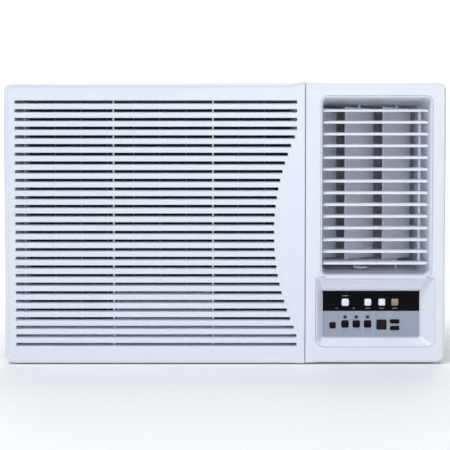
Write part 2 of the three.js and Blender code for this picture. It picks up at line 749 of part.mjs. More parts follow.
function ventSlider() {
  const neck = { ...slider, wide: slider.neck, tall: slider.neck };
  const foot = { ...slider, wide: 9, tall: 8 };
  const capBackY = overlayFrontY - gap;
  const footFrontY = overlayBackY + gap;
  return join(
    extrude("y", itemOutline(slider, 0), capBackY - keyFront - 0.5, capBackY),
    extrude("y", itemOutline(neck, 0, 0.5), capBackY - 1, footFrontY + 1),
    extrude("y", itemOutline(foot, 0, 1), footFrontY, footFrontY + 2));
}

/** A clear window that sits in the overlay, a little proud of it. */
function windowPane(item) {
  return extrude("y", itemOutline(item, -gap), overlayFrontY - 0.4, overlayBackY + 2);
}

function indicatorLights() {
  const z = overlay.bottom + lamps.z;
  const centres = lamps.xs.map((x) => overlay.left + x);
  const barFrontY = overlayBackY + 2;
  return join(
    block(centres[0] - 3, centres.at(-1) + 3, barFrontY, barFrontY + 2, z - 1.8, z + 1.8),
    centres.map((x) => rod("y", [x, z], lamps.radius, overlayFrontY - 0.3, barFrontY + 1, 12)));
}

function controlBoard() {
  const margin = 4;
  const pieces = [block(overlay.left + margin, overlay.right - margin, boardY, boardY + 1.6,
    overlay.bottom + margin, overlay.top - margin)];
  for (const item of keys) {
    const switchBody = { ...item, wide: 6, tall: 5 };
    pieces.push(extrude("y", itemOutline(switchBody, 0, 0.5), switchFrontY, boardY + 0.5));
  }
  for (const item of [display, receiver]) {
    pieces.push(extrude("y", itemOutline(item, -1, 0.5), pocketBackY + 4, boardY + 0.5));
  }
  return join(pieces);
}

addPiece("control_overlay", controlOverlay(), "blackGloss");
keys.forEach((item) => addPiece(item.name, key(item), item.finish));
addPiece("vent_slider", ventSlider(), "whiteShell");
addPiece("display_window", windowPane(display), "darkWindow");
addPiece("receiver_window", windowPane(receiver), "darkWindow");
addPiece("indicator_lights", indicatorLights(), "lightGuide");
addPiece("control_board", controlBoard(), "board");

// ---------------------------------------------------------------- cabinet and base pan

const cabinetHalf = rightX - 8;
const cabinetTop = height - 8;
const cabinetBottom = frameBottom + faceRadius / 2 + running; // clear of the frame's round corners
const cabinetFrontY = frameMidY + plastic + 2;
const cabinetRadius = 8;
const panHalf = cabinetHalf - sheet - gap;
const panFrontY = frameBackY + gap;
const panRearY = rearY - sheet - gap;
const panHeight = 30;
const bulkheadY = -75;
const shroudY = 225;
const cordHole = { y: -265, z: 50, radius: 9 };
const wallHalf = panHalf - panSheet - gap;
const wallTop = cabinetTop - sheet - gap;
const slotTall = 5;
const slotPitch = 32;

/** An upright steel partition across the cabinet, with a round-cornered top. */
function partition(y, thickness) {
  const radius = cabinetRadius - sheet;
  return extrude("y", roundRect(-wallHalf, wallHalf, panSheet + gap, wallTop, [1, 1, radius, radius]),
    y, y + thickness);
}

function cabinet() {
  const inner = cabinetRadius - sheet;
  const outline = roundRect(-cabinetHalf, cabinetHalf, cabinetBottom, cabinetTop,
    [0.5, 0.5, cabinetRadius, cabinetRadius]);
  const hollow = roundRect(-cabinetHalf + sheet, cabinetHalf - sheet, -panHeight, cabinetTop - sheet,
    [0.5, 0.5, inner, inner]);
  const rearLip = 12;
  const rearWindow = roundRect(-cabinetHalf + rearLip, cabinetHalf - rearLip, -panHeight,
    cabinetTop - rearLip, 4);
  let body = extrude("y", outline, cabinetFrontY, rearY);
  body = cut(body, extrude("y", hollow, cabinetFrontY - 1, rearY - sheet),
    extrude("y", rearWindow, rearY - 2 * sheet, rearY + 1));

  const slots = [];
  const sideColumns = [[40, 110], [125, 195]];
  const sideRows = Math.floor((cabinetTop - 150) / slotPitch);
  for (const [y0, y1] of sideColumns) {
    for (let row = 0; row < sideRows; row += 1) {
      const z = cabinetTop - 30 - row * slotPitch;
      slots.push(block(-cabinetHalf - 1, -cabinetHalf + sheet + 1, y0, y1, z - slotTall, z));
      slots.push(block(cabinetHalf - sheet - 1, cabinetHalf + 1, y0, y1, z - slotTall, z));
    }
  }
  const topColumns = 4;
  const topRows = 6;
  const topMargin = 45; // first slot from the cabinet's side
  const slotSpace = 30; // steel between two columns
  const columnStep = (2 * cabinetHalf - 2 * slotSpace) / topColumns;
  for (let column = 0; column < topColumns; column += 1) {
    const x = -cabinetHalf + topMargin + column * columnStep;
    for (let row = 0; row < topRows; row += 1) {
      const y = 60 + row * slotPitch;
      slots.push(block(x, x + columnStep - slotSpace, y, y + slotTall, cabinetTop - sheet - 1, cabinetTop + 1));
    }
  }
  slots.push(rod("x", [cordHole.y, cordHole.z], cordHole.radius, cabinetHalf - sheet - 1, cabinetHalf + 1));
  return cut(body, slots);
}

function basePan() {
  return cut(
    block(-panHalf, panHalf, panFrontY, panRearY, 0, panHeight),
    block(-panHalf + panSheet, panHalf - panSheet, panFrontY + panSheet, panRearY - panSheet,
      panSheet, panHeight + 1));
}

/** Pressed in from inside, so that its outer end stays flush with the cabinet's side. */
function cordGrommet() {
  const neck = cordHole.radius - gap;
  const flange = cordHole.radius + 2;
  const bore = 4.5;
  const centre = [cordHole.y, cordHole.z];
  const inner = cabinetHalf - sheet;
  return cut(join(
    rod("x", centre, neck, inner - 4, cabinetHalf - gap, 12),
    rod("x", centre, flange, inner - 3, inner - gap, 12)),
  rod("x", centre, bore, inner - 6, cabinetHalf + 5, 10));
}

addPiece("cabinet", cabinet(), "paintedSteel");
addPiece("base_pan", basePan(), "galvanised");
addPiece("cord_grommet", cordGrommet(), "rubber");

// ---------------------------------------------------------------- coils and drain tray

/** A finned coil: fin pack, two end plates, and return bends on one end (side is -1 or 1). */
function coil(box, side, bendLow, bends) {
  const plate = 2.5;
  const lap = 2;
  const bendStep = (box.top - bendLow - 10) / bends;
  const x = side < 0 ? box.left : box.right;
  const y = (box.frontY + box.backY) / 2;
  const reach = 12;
  const tube = 4.5;
  const pieces = [
    block(box.left + 1, box.right - 1, box.frontY + lap, box.backY - lap, box.bottom + lap, box.top - lap),
    block(box.left, box.left + plate, box.frontY, box.backY, box.bottom, box.top),
    block(box.right - plate, box.right, box.frontY, box.backY, box.bottom, box.top),
  ];
  for (let i = 0; i < bends; i += 1) {
    const low = bendLow + i * bendStep;
    const high = low + bendStep / 2;
    const route = [
      [x - side, y, low], [x + side * reach, y, low], [x + side * reach, y, high], [x - side, y, high],
    ];
    pieces.push(pipe(route, tube, 9));
  }
  return join(pieces);
}

const evaporator = {
  left: -rightX + 30,
  right: duct.left - innerWall - 17,
  frontY: frameMidY + plastic + 12,
  backY: frameMidY + plastic + 12 + coilDepth,
  bottom: 38,
  top: height - 24,
};
const condenser = {
  left: -wallHalf + 18,
  right: wallHalf - 18,
  frontY: rearY - 28 - coilDepth,
  backY: rearY - 28,
  bottom: 6,
  top: wallTop - 6,
};

function drainTray() {
  const over = 7;
  const wall = 2;
  const low = panHeight + gap;
  const high = evaporator.bottom + 8;
  const box = {
    left: evaporator.left - over,
    right: evaporator.right + over + 5,
    frontY: evaporator.frontY - over,
    backY: evaporator.backY + over,
  };
  return cut(
    block(box.left, box.right, box.frontY, box.backY, low, high),
    block(box.left + wall, box.right - wall, box.frontY + wall, box.backY - wall, low + wall, high + 1));
}

addPiece("evaporator_coil", coil(evaporator, 1, 110, 5), "aluminium");
addPiece("condenser_coil", coil(condenser, -1, 40, 6), "aluminium");
addPiece("drain_tray", drainTray(), "foamDuct");

// ---------------------------------------------------------------- blower, fan, shaft and motor

const axisX = duct.left - innerWall - blowerReach;
const axisZ = midZ;
const axis = [axisX, axisZ];
const wheelBackY = duct.rearY - 15;
const wheelFrontY = wheelBackY - wheelWidth;
const fanBackY = shroudY - 13;
const fanFrontY = fanBackY - fanDepth;
const motorFrontY = bulkheadY + 30;
const shaftGap = 0.3;
const pipeRadius = 4;
const pipeX = wallHalf - 9; // where the discharge pipe passes the shroud
const pipeZ = 345;

/** The blower casing's outline in the XZ plane: a spiral that opens into a straight exit. */
function scrollOutline(inset, exitOver) {
  const steps = 28;
  const start = Math.PI / 2;
  const end = THREE.MathUtils.degToRad(320);
  const least = wheelRadius + scrollGap - inset;
  const exitX = duct.left - innerWall - gap + exitOver;
  const spiral = Array.from({ length: steps + 1 }, (_, i) => {
    const angle = start + ((end - start) * i) / steps;
    const radius = least + scrollGrowth * (1 - i / steps);
    return new THREE.Vector2(axisX + radius * Math.cos(angle), axisZ + radius * Math.sin(angle));
  });
  return [
    new THREE.Vector2(exitX, scrollExit.bottom + inset),
    new THREE.Vector2(exitX, scrollExit.top - inset),
    ...spiral,
  ];
}

function blowerScroll() {
  const backY = duct.rearY;
  return cut(
    extrude("y", scrollOutline(0, 0), scrollFrontY, backY),
    extrude("y", scrollOutline(innerWall, 5), scrollFrontY + innerWall, backY - innerWall),
    rod("y", axis, wheelRadius - 18, scrollFrontY - 1, scrollFrontY + innerWall + 1, 32),
    rod("y", axis, shaftRadius + 4, backY - innerWall - 1, backY + 1, 16));
}

function blowerWheel() {
  const rimDepth = 4;
  const bladeWide = 12;
  const middle = wheelRadius - bladeWide / 2;
  const body = [
    ring("y", arc(axisX, axisZ, wheelRadius, 0, 2 * Math.PI, 36).slice(0, 36),
      arc(axisX, axisZ, wheelRadius - bladeWide, 0, 2 * Math.PI, 36).slice(0, 36),
      wheelFrontY, wheelFrontY + rimDepth),
    rod("y", axis, wheelRadius, wheelBackY - 2, wheelBackY, 36),
    rod("y", axis, 16, wheelBackY - 22, wheelBackY - 1, 20),
  ];
  for (let i = 0; i < wheelBlades; i += 1) {
    const geometry = new THREE.BoxGeometry(bladeWide, wheelWidth - 2, 1.8);
    geometry.rotateY(THREE.MathUtils.degToRad(35));
    geometry.translate(middle, 0, 0);
    geometry.rotateY((2 * Math.PI * i) / wheelBlades);
    geometry.translate(axisX, (wheelFrontY + wheelBackY) / 2, axisZ);
    body.push(toSolid(geometry));
  }
  const rim = arc(axisX, axisZ, wheelRadius, 0, 2 * Math.PI, 36).slice(0, 36);
  const trimmed = join(body).intersect(extrude("y", rim, wheelFrontY, wheelBackY));
  return cut(trimmed, rod("y", axis, shaftRadius + shaftGap, wheelBackY - 30, wheelBackY + 1, 16));
}

function condenserFan() {
  const hubRadius = 32;
  const pitch = THREE.MathUtils.degToRad(28);
  const middleY = (fanFrontY + fanBackY) / 2;
  const tip = fanRadius + 1;
  const pieces = [
    rod("y", axis, hubRadius, fanFrontY + 2, fanBackY, 24),
    ring("y", arc(axisX, axisZ, fanRadius + 4, 0, 2 * Math.PI, 40).slice(0, 40),
      arc(axisX, axisZ, fanRadius, 0, 2 * Math.PI, 40).slice(0, 40), middleY - 6, middleY + 6),
  ];
  const outline = new THREE.Shape([
    new THREE.Vector2(hubRadius - 8, -16),
    new THREE.Vector2(fanRadius * 0.6, -34),
    new THREE.Vector2(fanRadius * 0.95, -42),
    new THREE.Vector2(tip, -10),
    new THREE.Vector2(tip, 14),
    new THREE.Vector2(fanRadius * 0.94, 38),
    new THREE.Vector2(fanRadius * 0.6, 30),
    new THREE.Vector2(hubRadius - 8, 16),
  ]);
  for (let i = 0; i < fanBlades; i += 1) {
    const geometry = new THREE.ExtrudeGeometry(outline, { depth: 3, bevelEnabled: false, steps: 1 });
    geometry.translate(0, 0, -1.5);
    geometry.applyMatrix4(turns.y);
    geometry.rotateX(pitch);
    geometry.rotateY((2 * Math.PI * i) / fanBlades);
    geometry.translate(axisX, middleY, axisZ);
    pieces.push(toSolid(geometry));
  }
  return cut(join(pieces), rod("y", axis, shaftRadius + shaftGap, fanFrontY - 30, fanBackY + 30, 16));
}

function fanMotor() {
  const boss = 8;
  const back = motorFrontY + motorLength;
  const body = join(
    rod("y", axis, motorRadius, motorFrontY, back, 32),
    rod("y", axis, motorRadius / 3, motorFrontY - boss, back + boss, 24));
  return cut(body, rod("y", axis, shaftRadius + shaftGap, motorFrontY - 20, back + 20, 16));
}

function motorBracket() {
  const footHalf = 78;
  const half = 50;
  const y0 = motorFrontY + 20;
  const y1 = motorFrontY + motorLength - 20;
  const floor = panSheet + gap;
  const body = join(
    block(axisX - footHalf, axisX + footHalf, y0 - 8, y1 + 8, floor, floor + 3),
    block(axisX - half, axisX + half, y0, y1, floor, axisZ - motorRadius / 2));
  return cut(body,
    rod("y", axis, motorRadius + gap, y0 - 1, y1 + 1, 32),
    block(axisX - half + 8, axisX + half - 8, y0 - 1, y1 + 1, floor + 14, axisZ - motorRadius - 12));
}

function fanShroud() {
  const hole = fanRadius + 11;
  const collar = 28;
  const body = join(
    partition(shroudY, 2),
    rod("y", axis, hole + innerWall, shroudY - collar, shroudY + 1, 40));
  return cut(body,
    rod("y", axis, hole, shroudY - collar - 1, shroudY + 3, 40),
    rod("y", [pipeX, pipeZ], pipeRadius + 4, shroudY - 2, shroudY + 4, 12));
}

addPiece("blower_scroll", blowerScroll(), "foamDuct");
addPiece("blower_wheel", blowerWheel(), "blackPaint");
addPiece("condenser_fan", condenserFan(), "greyPlastic");
addPiece("fan_shaft", rod("y", axis, shaftRadius, wheelBackY - 24, fanBackY + 6, 16), "galvanised");
addPiece("fan_motor", fanMotor(), "blackPaint");
addPiece("motor_bracket", motorBracket(), "galvanised");
addPiece("fan_shroud", fanShroud(), "galvanised");

// ---------------------------------------------------------------- bulkhead and ventilation door

const suction = { x: duct.left + 8, z: 70, y: (evaporator.frontY + evaporator.backY) / 2 };
const vent = {
  left: seamX + 30,
  right: seamX + 60,
  low: cabinetTop - 84,
  high: cabinetTop - 54,
  axisY: bulkheadY + panSheet + 3,
};
const ventAxisZ = vent.high + 4;
const ventPin = 1.5;
const ventOpen = THREE.MathUtils.degToRad(15);

function bulkhead() {
  const earRadius = 3.5;
  const ears = [vent.left - 7, vent.right + 4].map((x) => cut(
    join(
      rod("x", [vent.axisY, ventAxisZ], earRadius, x, x + 3),
      block(x, x + 3, bulkheadY + 0.5, vent.axisY, ventAxisZ - earRadius, ventAxisZ + earRadius)),
    rod("x", [vent.axisY, ventAxisZ], ventPin + running, x - 1, x + 4, 10)));
  const through = [bulkheadY - 1, bulkheadY + panSheet + 1];
  return cut(join(partition(bulkheadY, panSheet), ears),
    rod("y", axis, shaftRadius + 10, ...through, 20),
    rod("y", [suction.x, suction.z], pipeRadius + 4, ...through, 12),
    block(vent.left, vent.right, ...through, vent.low, vent.high));
}

function ventDoor() {
  const lap = 3;
  const drop = ventAxisZ - vent.low + lap;
  const along = (down, out) => new THREE.Vector2(
    vent.axisY + down * Math.sin(ventOpen) + out * Math.cos(ventOpen),
    ventAxisZ - down * Math.cos(ventOpen) + out * Math.sin(ventOpen));
  const plate = [along(0, -1), along(drop, -1), along(drop, 1), along(0, 1)];
  return join(
    extrude("x", plate, vent.left - lap, vent.right + lap),
    rod("x", [vent.axisY, ventAxisZ], ventPin, vent.left - 8, vent.right + 8, 10));
}

addPiece("bulkhead", bulkhead(), "galvanised");
addPiece("vent_door", ventDoor(), "greyPlastic");

// ---------------------------------------------------------------- refrigerant parts and capacitor

const floorZ = panSheet + gap;
const compressorX = rightX - 108;
const compressorY = 55;
const accumulatorRadius = 22;
const accumulatorX = compressorX - compressorRadius - accumulatorRadius - 6;
const accumulatorLow = 100;
const accumulatorTall = 160;
const inletZ = 70; // gas enters the compressor, and leaves the evaporator, at this height
const suctionRise = 25; // top run of the suction pipe above the accumulator
const suctionTurnIn = 45; // upright run of the suction pipe behind the bulkhead
const capacitorAt = { x: rightX - 80, y: frontY + 90 };

function compressor() {
  const top = compressorHeight;
  return turned([
    [0, 0], [compressorRadius + 7, 0], [compressorRadius + 7, 4], [compressorRadius, 8],
    [compressorRadius, top - 42], [compressorRadius - 8, top - 20], [compressorRadius / 2, top - 4],
    [8, top], [0, top],
  ], compressorX, compressorY, floorZ, 20);
}

function accumulator() {
  const foot = accumulatorRadius / 2;
  const high = accumulatorTall;
  const shell = turned([
    [0, 0], [foot, 0], [accumulatorRadius, 10], [accumulatorRadius, high - 10], [foot, high], [0, high],
  ], accumulatorX, compressorY, accumulatorLow, 20);
  const outlet = [
    [accumulatorX, compressorY, accumulatorLow + 5],
    [accumulatorX, compressorY, inletZ],
    [compressorX - compressorRadius - 2 * gap, compressorY, inletZ],
  ];
  return join(shell, pipe(outlet, pipeRadius, 12));
}

const dischargeRoute = [
  [compressorX, compressorY, floorZ + compressorHeight + gap],
  [compressorX, compressorY, pipeZ],
  [pipeX, compressorY, pipeZ],
  [pipeX, (condenser.frontY + condenser.backY) / 2, pipeZ],
  [condenser.right + gap, (condenser.frontY + condenser.backY) / 2, pipeZ],
];
const suctionTop = accumulatorLow + accumulatorTall;
const suctionRoute = [
  [evaporator.right + gap, suction.y, suction.z],
  [suction.x, suction.y, suction.z],
  [suction.x, bulkheadY + suctionTurnIn, suction.z],
  [suction.x, bulkheadY + suctionTurnIn, suctionTop + suctionRise],
  [accumulatorX, compressorY, suctionTop + suctionRise],
  [accumulatorX, compressorY, suctionTop + gap],
];

function capacitor() {
  const radius = 22;
  const tall = 92;
  const { x, y } = capacitorAt;
  const terminals = [x - 8, x + 8].map((tab) =>
    block(tab - 1, tab + 1, y - 4, y + 4, floorZ + tall - 1, floorZ + tall + 7));
  return join(
    turned([[0, 0], [radius, 0], [radius, tall - 3], [radius - 3, tall], [0, tall]], x, y, floorZ, 24),
    terminals);
}

addPiece("compressor", compressor(), "blackPaint");
addPiece("accumulator", accumulator(), "blackPaint");
addPiece("discharge_pipe", pipe(dischargeRoute, pipeRadius, 8), "copper");
addPiece("suction_pipe", pipe(suctionRoute, pipeRadius, 8), "copper");
addPiece("capacitor", capacitor(), "aluminium");

export default airConditioner;
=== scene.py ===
"""Window air conditioner: the visual model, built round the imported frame.

Shapes are worked out in millimetres as numpy arrays of points, and put into meshes in metres.
"""
import json
import logging
import math
from dataclasses import dataclass, field
from enum import Enum
from typing import Optional, Sequence

import bmesh
import bpy
import numpy as np
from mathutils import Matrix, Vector
from mathutils.geometry import tessellate_polygon


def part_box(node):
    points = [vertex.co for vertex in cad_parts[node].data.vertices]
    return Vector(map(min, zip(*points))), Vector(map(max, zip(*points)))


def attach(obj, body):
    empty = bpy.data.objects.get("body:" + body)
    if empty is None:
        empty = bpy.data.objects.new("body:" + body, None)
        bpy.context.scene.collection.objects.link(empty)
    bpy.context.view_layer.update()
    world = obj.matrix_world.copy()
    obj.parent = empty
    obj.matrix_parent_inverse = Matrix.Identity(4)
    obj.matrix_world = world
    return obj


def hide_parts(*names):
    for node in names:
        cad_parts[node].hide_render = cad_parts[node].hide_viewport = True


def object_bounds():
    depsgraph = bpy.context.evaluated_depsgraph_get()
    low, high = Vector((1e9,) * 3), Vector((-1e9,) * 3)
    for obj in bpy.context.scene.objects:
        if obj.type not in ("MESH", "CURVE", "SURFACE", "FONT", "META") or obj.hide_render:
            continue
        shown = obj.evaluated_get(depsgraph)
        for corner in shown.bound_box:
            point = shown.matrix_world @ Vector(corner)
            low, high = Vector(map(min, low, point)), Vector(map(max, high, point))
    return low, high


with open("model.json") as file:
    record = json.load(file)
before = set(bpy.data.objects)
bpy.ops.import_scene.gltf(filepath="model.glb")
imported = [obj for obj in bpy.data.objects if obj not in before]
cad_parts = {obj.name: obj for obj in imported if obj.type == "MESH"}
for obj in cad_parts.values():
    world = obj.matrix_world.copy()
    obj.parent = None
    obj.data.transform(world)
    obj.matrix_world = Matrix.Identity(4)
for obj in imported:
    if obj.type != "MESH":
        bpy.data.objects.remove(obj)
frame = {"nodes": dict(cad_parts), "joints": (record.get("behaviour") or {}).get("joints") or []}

Array = np.ndarray
Socket = bpy.types.NodeSocket
CAD_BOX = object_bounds()
LOG = logging.getLogger("window_air_conditioner")
MM = 0.001


# ---------------------------------------------------------------- outlines and skins

class Facing(Enum):
    """The plane an outline is drawn in, as the axes of its first, second and depth coordinates."""

    FRONT = (0, 2, 1)
    SIDE = (1, 2, 0)
    TOP = (0, 1, 2)


@dataclass
class Skin:
    """Points in millimetres and the faces between them."""

    points: Array = field(default_factory=lambda: np.zeros((0, 3)))
    faces: list[tuple[int, ...]] = field(default_factory=list)

    def __add__(self, other: "Skin") -> "Skin":
        """Return both skins as one."""
        shift = len(self.points)
        moved = [tuple(index + shift for index in face) for face in other.faces]
        return Skin(np.vstack([self.points, other.points]), self.faces + moved)

    def moved(self, x: float) -> "Skin":
        """Return the skin shifted along X."""
        return Skin(self.points + np.array([x, 0.0, 0.0]), self.faces)

    def turned(self, axis: int, angle: float, centre: Sequence[float]) -> "Skin":
        """Return the skin turned about an axis through a centre.

        Args:
            axis: 0, 1 or 2 for X, Y or Z.
            angle: Turn in radians, by the right-hand rule.
            centre: A point on the axis.

        Returns:
            The turned skin.
        """
        first, second = [(1, 2), (2, 0), (0, 1)][axis]
        points = self.points - np.array(centre, dtype=float)
        turned = points.copy()
        turned[:, first] = points[:, first] * math.cos(angle) - points[:, second] * math.sin(angle)
        turned[:, second] = points[:, first] * math.sin(angle) + points[:, second] * math.cos(angle)
        return Skin(turned + np.array(centre, dtype=float), self.faces)


def total(skins: Sequence[Skin]) -> Skin:
    """Return several skins as one."""
    result = Skin()
    for skin in skins:
        result = result + skin
    return result


def box_mm(node: str) -> tuple[Array, Array]:
    """Return a CAD node's lowest and highest corners in millimetres."""
    low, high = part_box(node)
    return np.array(low) / MM, np.array(high) / MM


def arc(u: float, v: float, radius: float, start: float, end: float, steps: int) -> Array:
    """Points on an arc: centre plus radius times (cos, sin) of evenly spaced angles.

    Args:
        u: Centre, first coordinate.
        v: Centre, second coordinate.
        radius: Radius.
        start: First angle in radians.
        end: Last angle in radians.
        steps: Number of steps between the two.

    Returns:
        An array of steps + 1 points.
    """
    angles = np.linspace(start, end, steps + 1)
    return np.stack([u + radius * np.cos(angles), v + radius * np.sin(angles)], axis=1)


def circle(u: float, v: float, radius: float, sides: int = 32) -> Array:
    """Return a circle's points, counter-clockwise."""
    return arc(u, v, radius, 0.0, 2.0 * math.pi, sides)[:-1]


def round_rect(u0: float, u1: float, v0: float, v1: float,
               radii: float | Sequence[float], steps: int = 6) -> Array:
    """A rectangle whose corners are quarter arcs, counter-clockwise from the low left corner.

    Args:
        u0: Lowest first coordinate.
        u1: Highest first coordinate.
        v0: Lowest second coordinate.
        v1: Highest second coordinate.
        radii: One radius, or four for low left, low right, high right and high left.
        steps: Steps in each corner.

    Returns:
        An array of 4 * (steps + 1) points.
    """
    four = [float(radii)] * 4 if isinstance(radii, (int, float)) else list(radii)
    quarter = math.pi / 2
    return np.vstack([
        arc(u0 + four[0], v0 + four[0], four[0], 2 * quarter, 3 * quarter, steps),
        arc(u1 - four[1], v0 + four[1], four[1], 3 * quarter, 4 * quarter, steps),
        arc(u1 - four[2], v1 - four[2], four[2], 0.0, quarter, steps),
        arc(u0 + four[3], v1 - four[3], four[3], quarter, 2 * quarter, steps),
    ])


def outset(outline: Array, amount: float | Array) -> Array:
    """Move each point out along its own normal.

    The normal is the mean of the two neighbouring edges' normals, lengthened so that straight
    edges move by exactly the amount.

    Args:
        outline: Counter-clockwise points.
        amount: One distance, or one for each point; negative moves in.

    Returns:
        The moved points.
    """
    edges = np.roll(outline, -1, axis=0) - outline
    edges = edges / np.maximum(np.linalg.norm(edges, axis=1, keepdims=True), 1e-9)
    normals = np.stack([edges[:, 1], -edges[:, 0]], axis=1)
    mean = normals + np.roll(normals, 1, axis=0)
    mean = mean / np.maximum(np.linalg.norm(mean, axis=1, keepdims=True), 1e-9)
    stretch = 1.0 / np.maximum(np.sum(mean * normals, axis=1), 0.5)
    distance = np.broadcast_to(np.asarray(amount, dtype=float), (len(outline),))
    return outline + mean * (distance * stretch)[:, None]


def polygon_area(outline: Array) -> float:
    """Signed area: half the sum of each point's cross product with the next."""
    following = np.roll(outline, -1, axis=0)
    return float(np.sum(outline[:, 0] * following[:, 1] - outline[:, 1] * following[:, 0]) / 2)


def ring(outline: Array, depth: float | Array, facing: Facing = Facing.FRONT) -> Array:
    """Put an outline in space.

    Args:
        outline: Points in the facing's plane.
        depth: One depth, or a depth for each point.
        facing: The plane of the outline.

    Returns:
        The points in space.
    """
    first, second, third = facing.value
    points = np.zeros((len(outline), 3))
    points[:, first] = outline[:, 0]
    points[:, second] = outline[:, 1]
    points[:, third] = depth
    return points


def grid_faces(rows: int, columns: int, wrap: bool) -> list[tuple[int, ...]]:
    """List the quads of a grid of points whose columns close on themselves.

    Args:
        rows: Number of rings.
        columns: Points in each ring.
        wrap: True closes the rows on themselves too.

    Returns:
        The quads, as indices into the points.
    """
    last = rows if wrap else rows - 1
    row, column = np.meshgrid(np.arange(last), np.arange(columns), indexing="ij")
    below = (row + 1) % rows
    right = (column + 1) % columns
    quads = np.stack([
        row * columns + column, row * columns + right,
        below * columns + right, below * columns + column], axis=-1)
    return [tuple(quad) for quad in quads.reshape(-1, 4).tolist()]


def skin_of(rings: Sequence[Array], wrap: bool = False) -> Skin:
    """A surface of two parameters: along the rings and round each ring.

    Args:
        rings: Rings with the same number of points.
        wrap: True joins the last ring to the first; otherwise both ends are closed flat.

    Returns:
        The closed skin.
    """
    rows, columns = len(rings), len(rings[0])
    faces = grid_faces(rows, columns, wrap)
    if not wrap:
        faces.append(tuple(range(columns - 1, -1, -1)))
        faces.append(tuple(range((rows - 1) * columns, rows * columns)))
    return Skin(np.vstack(rings), faces)


def pierced(stacks: Sequence[Sequence[Array]], facing: Facing = Facing.FRONT) -> Skin:
    """A body with holes: each stack of rings is skinned, and the flats between them are filled.

    Args:
        stacks: The outer stack first, then one for each hole. First rings lie in one flat, last
            rings in another.
        facing: The plane that the flats lie in.

    Returns:
        The closed skin.
    """
    result = Skin()
    first_loops: list[tuple[int, Array]] = []
    last_loops: list[tuple[int, Array]] = []
    for rings in stacks:
        shift = len(result.points)
        columns = len(rings[0])
        result = result + Skin(np.vstack(rings), grid_faces(len(rings), columns, False))
        first_loops.append((shift, rings[0]))
        last_loops.append((shift + (len(rings) - 1) * columns, rings[-1]))
    u, v, _ = facing.value
    for loops in (first_loops, last_loops):
        flat = [[Vector((point[u], point[v], 0.0)) for point in loop] for _, loop in loops]
        index = np.concatenate([shift + np.arange(len(loop)) for shift, loop in loops])
        result.faces.extend(tuple(int(index[i]) for i in face) for face in tessellate_polygon(flat))
    return result


def rounded_steps(edge: float | Array, steps: int = 5) -> list[tuple[float | Array, float | Array]]:
    """A quarter-round edge as (inset, depth) pairs: edge * (1 - sin a), edge * (1 - cos a)."""
    angles = np.linspace(0.0, math.pi / 2, steps + 1)
    return [(edge * (1 - math.sin(a)), edge * (1 - math.cos(a))) for a in angles]


def plate_stack(outline: Array, front: float, back: float, edge: float | Array = 0.6,
                rear_edge: float = 0.3, facing: Facing = Facing.FRONT) -> list[Array]:
    """The outer rings of a plate with a rounded front edge.

    Args:
        outline: The plate's widest outline.
        front: Depth of its front face.
        back: Depth of its back face.
        edge: Radius of the front edge, or one for each point.
        rear_edge: Radius of the back edge.
        facing: The plane of the plate.

    Returns:
        Rings from the front flat to the back flat.
    """
    way = 1.0 if back > front else -1.0
    rings = [ring(outset(outline, -inset), front + way * depth, facing)
             for inset, depth in rounded_steps(edge)]
    rings += [ring(outset(outline, -inset), back - way * depth, facing)
              for inset, depth in reversed(rounded_steps(rear_edge, 2))]
    return rings


def shell_stack(outline: Array, front: float, slab: float, back: float, wall: float,
                edge: float | Array) -> list[Array]:
    """The outer rings of a shell: rounded face, side wall to the back, and up inside to the slab.

    Args:
        outline: The shell's widest outline, facing front.
        front: Depth of the face.
        slab: Depth of the slab's back.
        back: Depth of the wall's free edge.
        wall: Wall thickness.
        edge: Radius of the front edge, or one for each point.

    Returns:
        Rings from the face to the slab's back.
    """
    rings = [ring(outset(outline, -inset), front + depth) for inset, depth in rounded_steps(edge, 6)]
    lip = wall * 0.3
    inside = outset(outline, -wall)
    rings += [
        ring(outline, back - lip), ring(outset(outline, -lip * 0.3), back - lip * 0.3),
        ring(outset(outline, -lip), back), ring(outset(outline, -(wall - lip)), back),
        ring(outset(outline, -(wall - lip * 0.3)), back - lip * 0.3),
        ring(inside, back - lip), ring(inside, slab)]
    return rings


def hole_stack(outline: Array, front: float, back: float, lip: float = 0.5) -> list[Array]:
    """The rings of a hole with a rounded mouth.

    Args:
        outline: The hole's narrowest outline, facing front.
        front: Depth of the face it opens in.
        back: Depth where it ends.
        lip: Radius of its mouth.

    Returns:
        Rings from the front flat to the back flat.
    """
    way = 1.0 if back > front else -1.0
    rings = [ring(outset(outline, inset), front + way * depth) for inset, depth in rounded_steps(lip, 3)]
    rings.append(ring(outline, back))
    return rings


def plate(outline: Array, front: float, back: float, edge: float | Array = 0.6,
          facing: Facing = Facing.FRONT) -> Skin:
    """Return a flat plate with rounded edges.

    Args:
        outline: The plate's widest outline.
        front: Depth of its front face.
        back: Depth of its back face.
        edge: Radius of the front edge.
        facing: The plane of the plate.

    Returns:
        The closed skin.
    """
    return pierced([plate_stack(outline, front, back, edge, facing=facing)], facing)


def cushion_cap(outline: Array, front: float, back: float, edge: float, crown: float) -> Skin:
    """A key cap: a plate whose front swells by a crown, highest in the middle.

    The front is a set of rings shrunk towards the middle by a share s, standing out by
    crown * (1 - s squared), so that it closes in one smooth dome.

    Args:
        outline: The cap's outline.
        front: Depth of the flat front before the crown.
        back: Depth of its back.
        edge: Edge radius.
        crown: Height of the dome; negative dishes the cap.

    Returns:
        The closed skin.
    """
    middle = outline.mean(axis=0)
    flat = outset(outline, -edge)
    shares = np.linspace(0.08, 0.92, 6)
    dome = [ring(middle + (flat - middle) * s, front - crown * (1 - s ** 2)) for s in shares]
    rings = dome + plate_stack(outline, front, back, edge, edge * 0.3)
    return skin_of(rings)


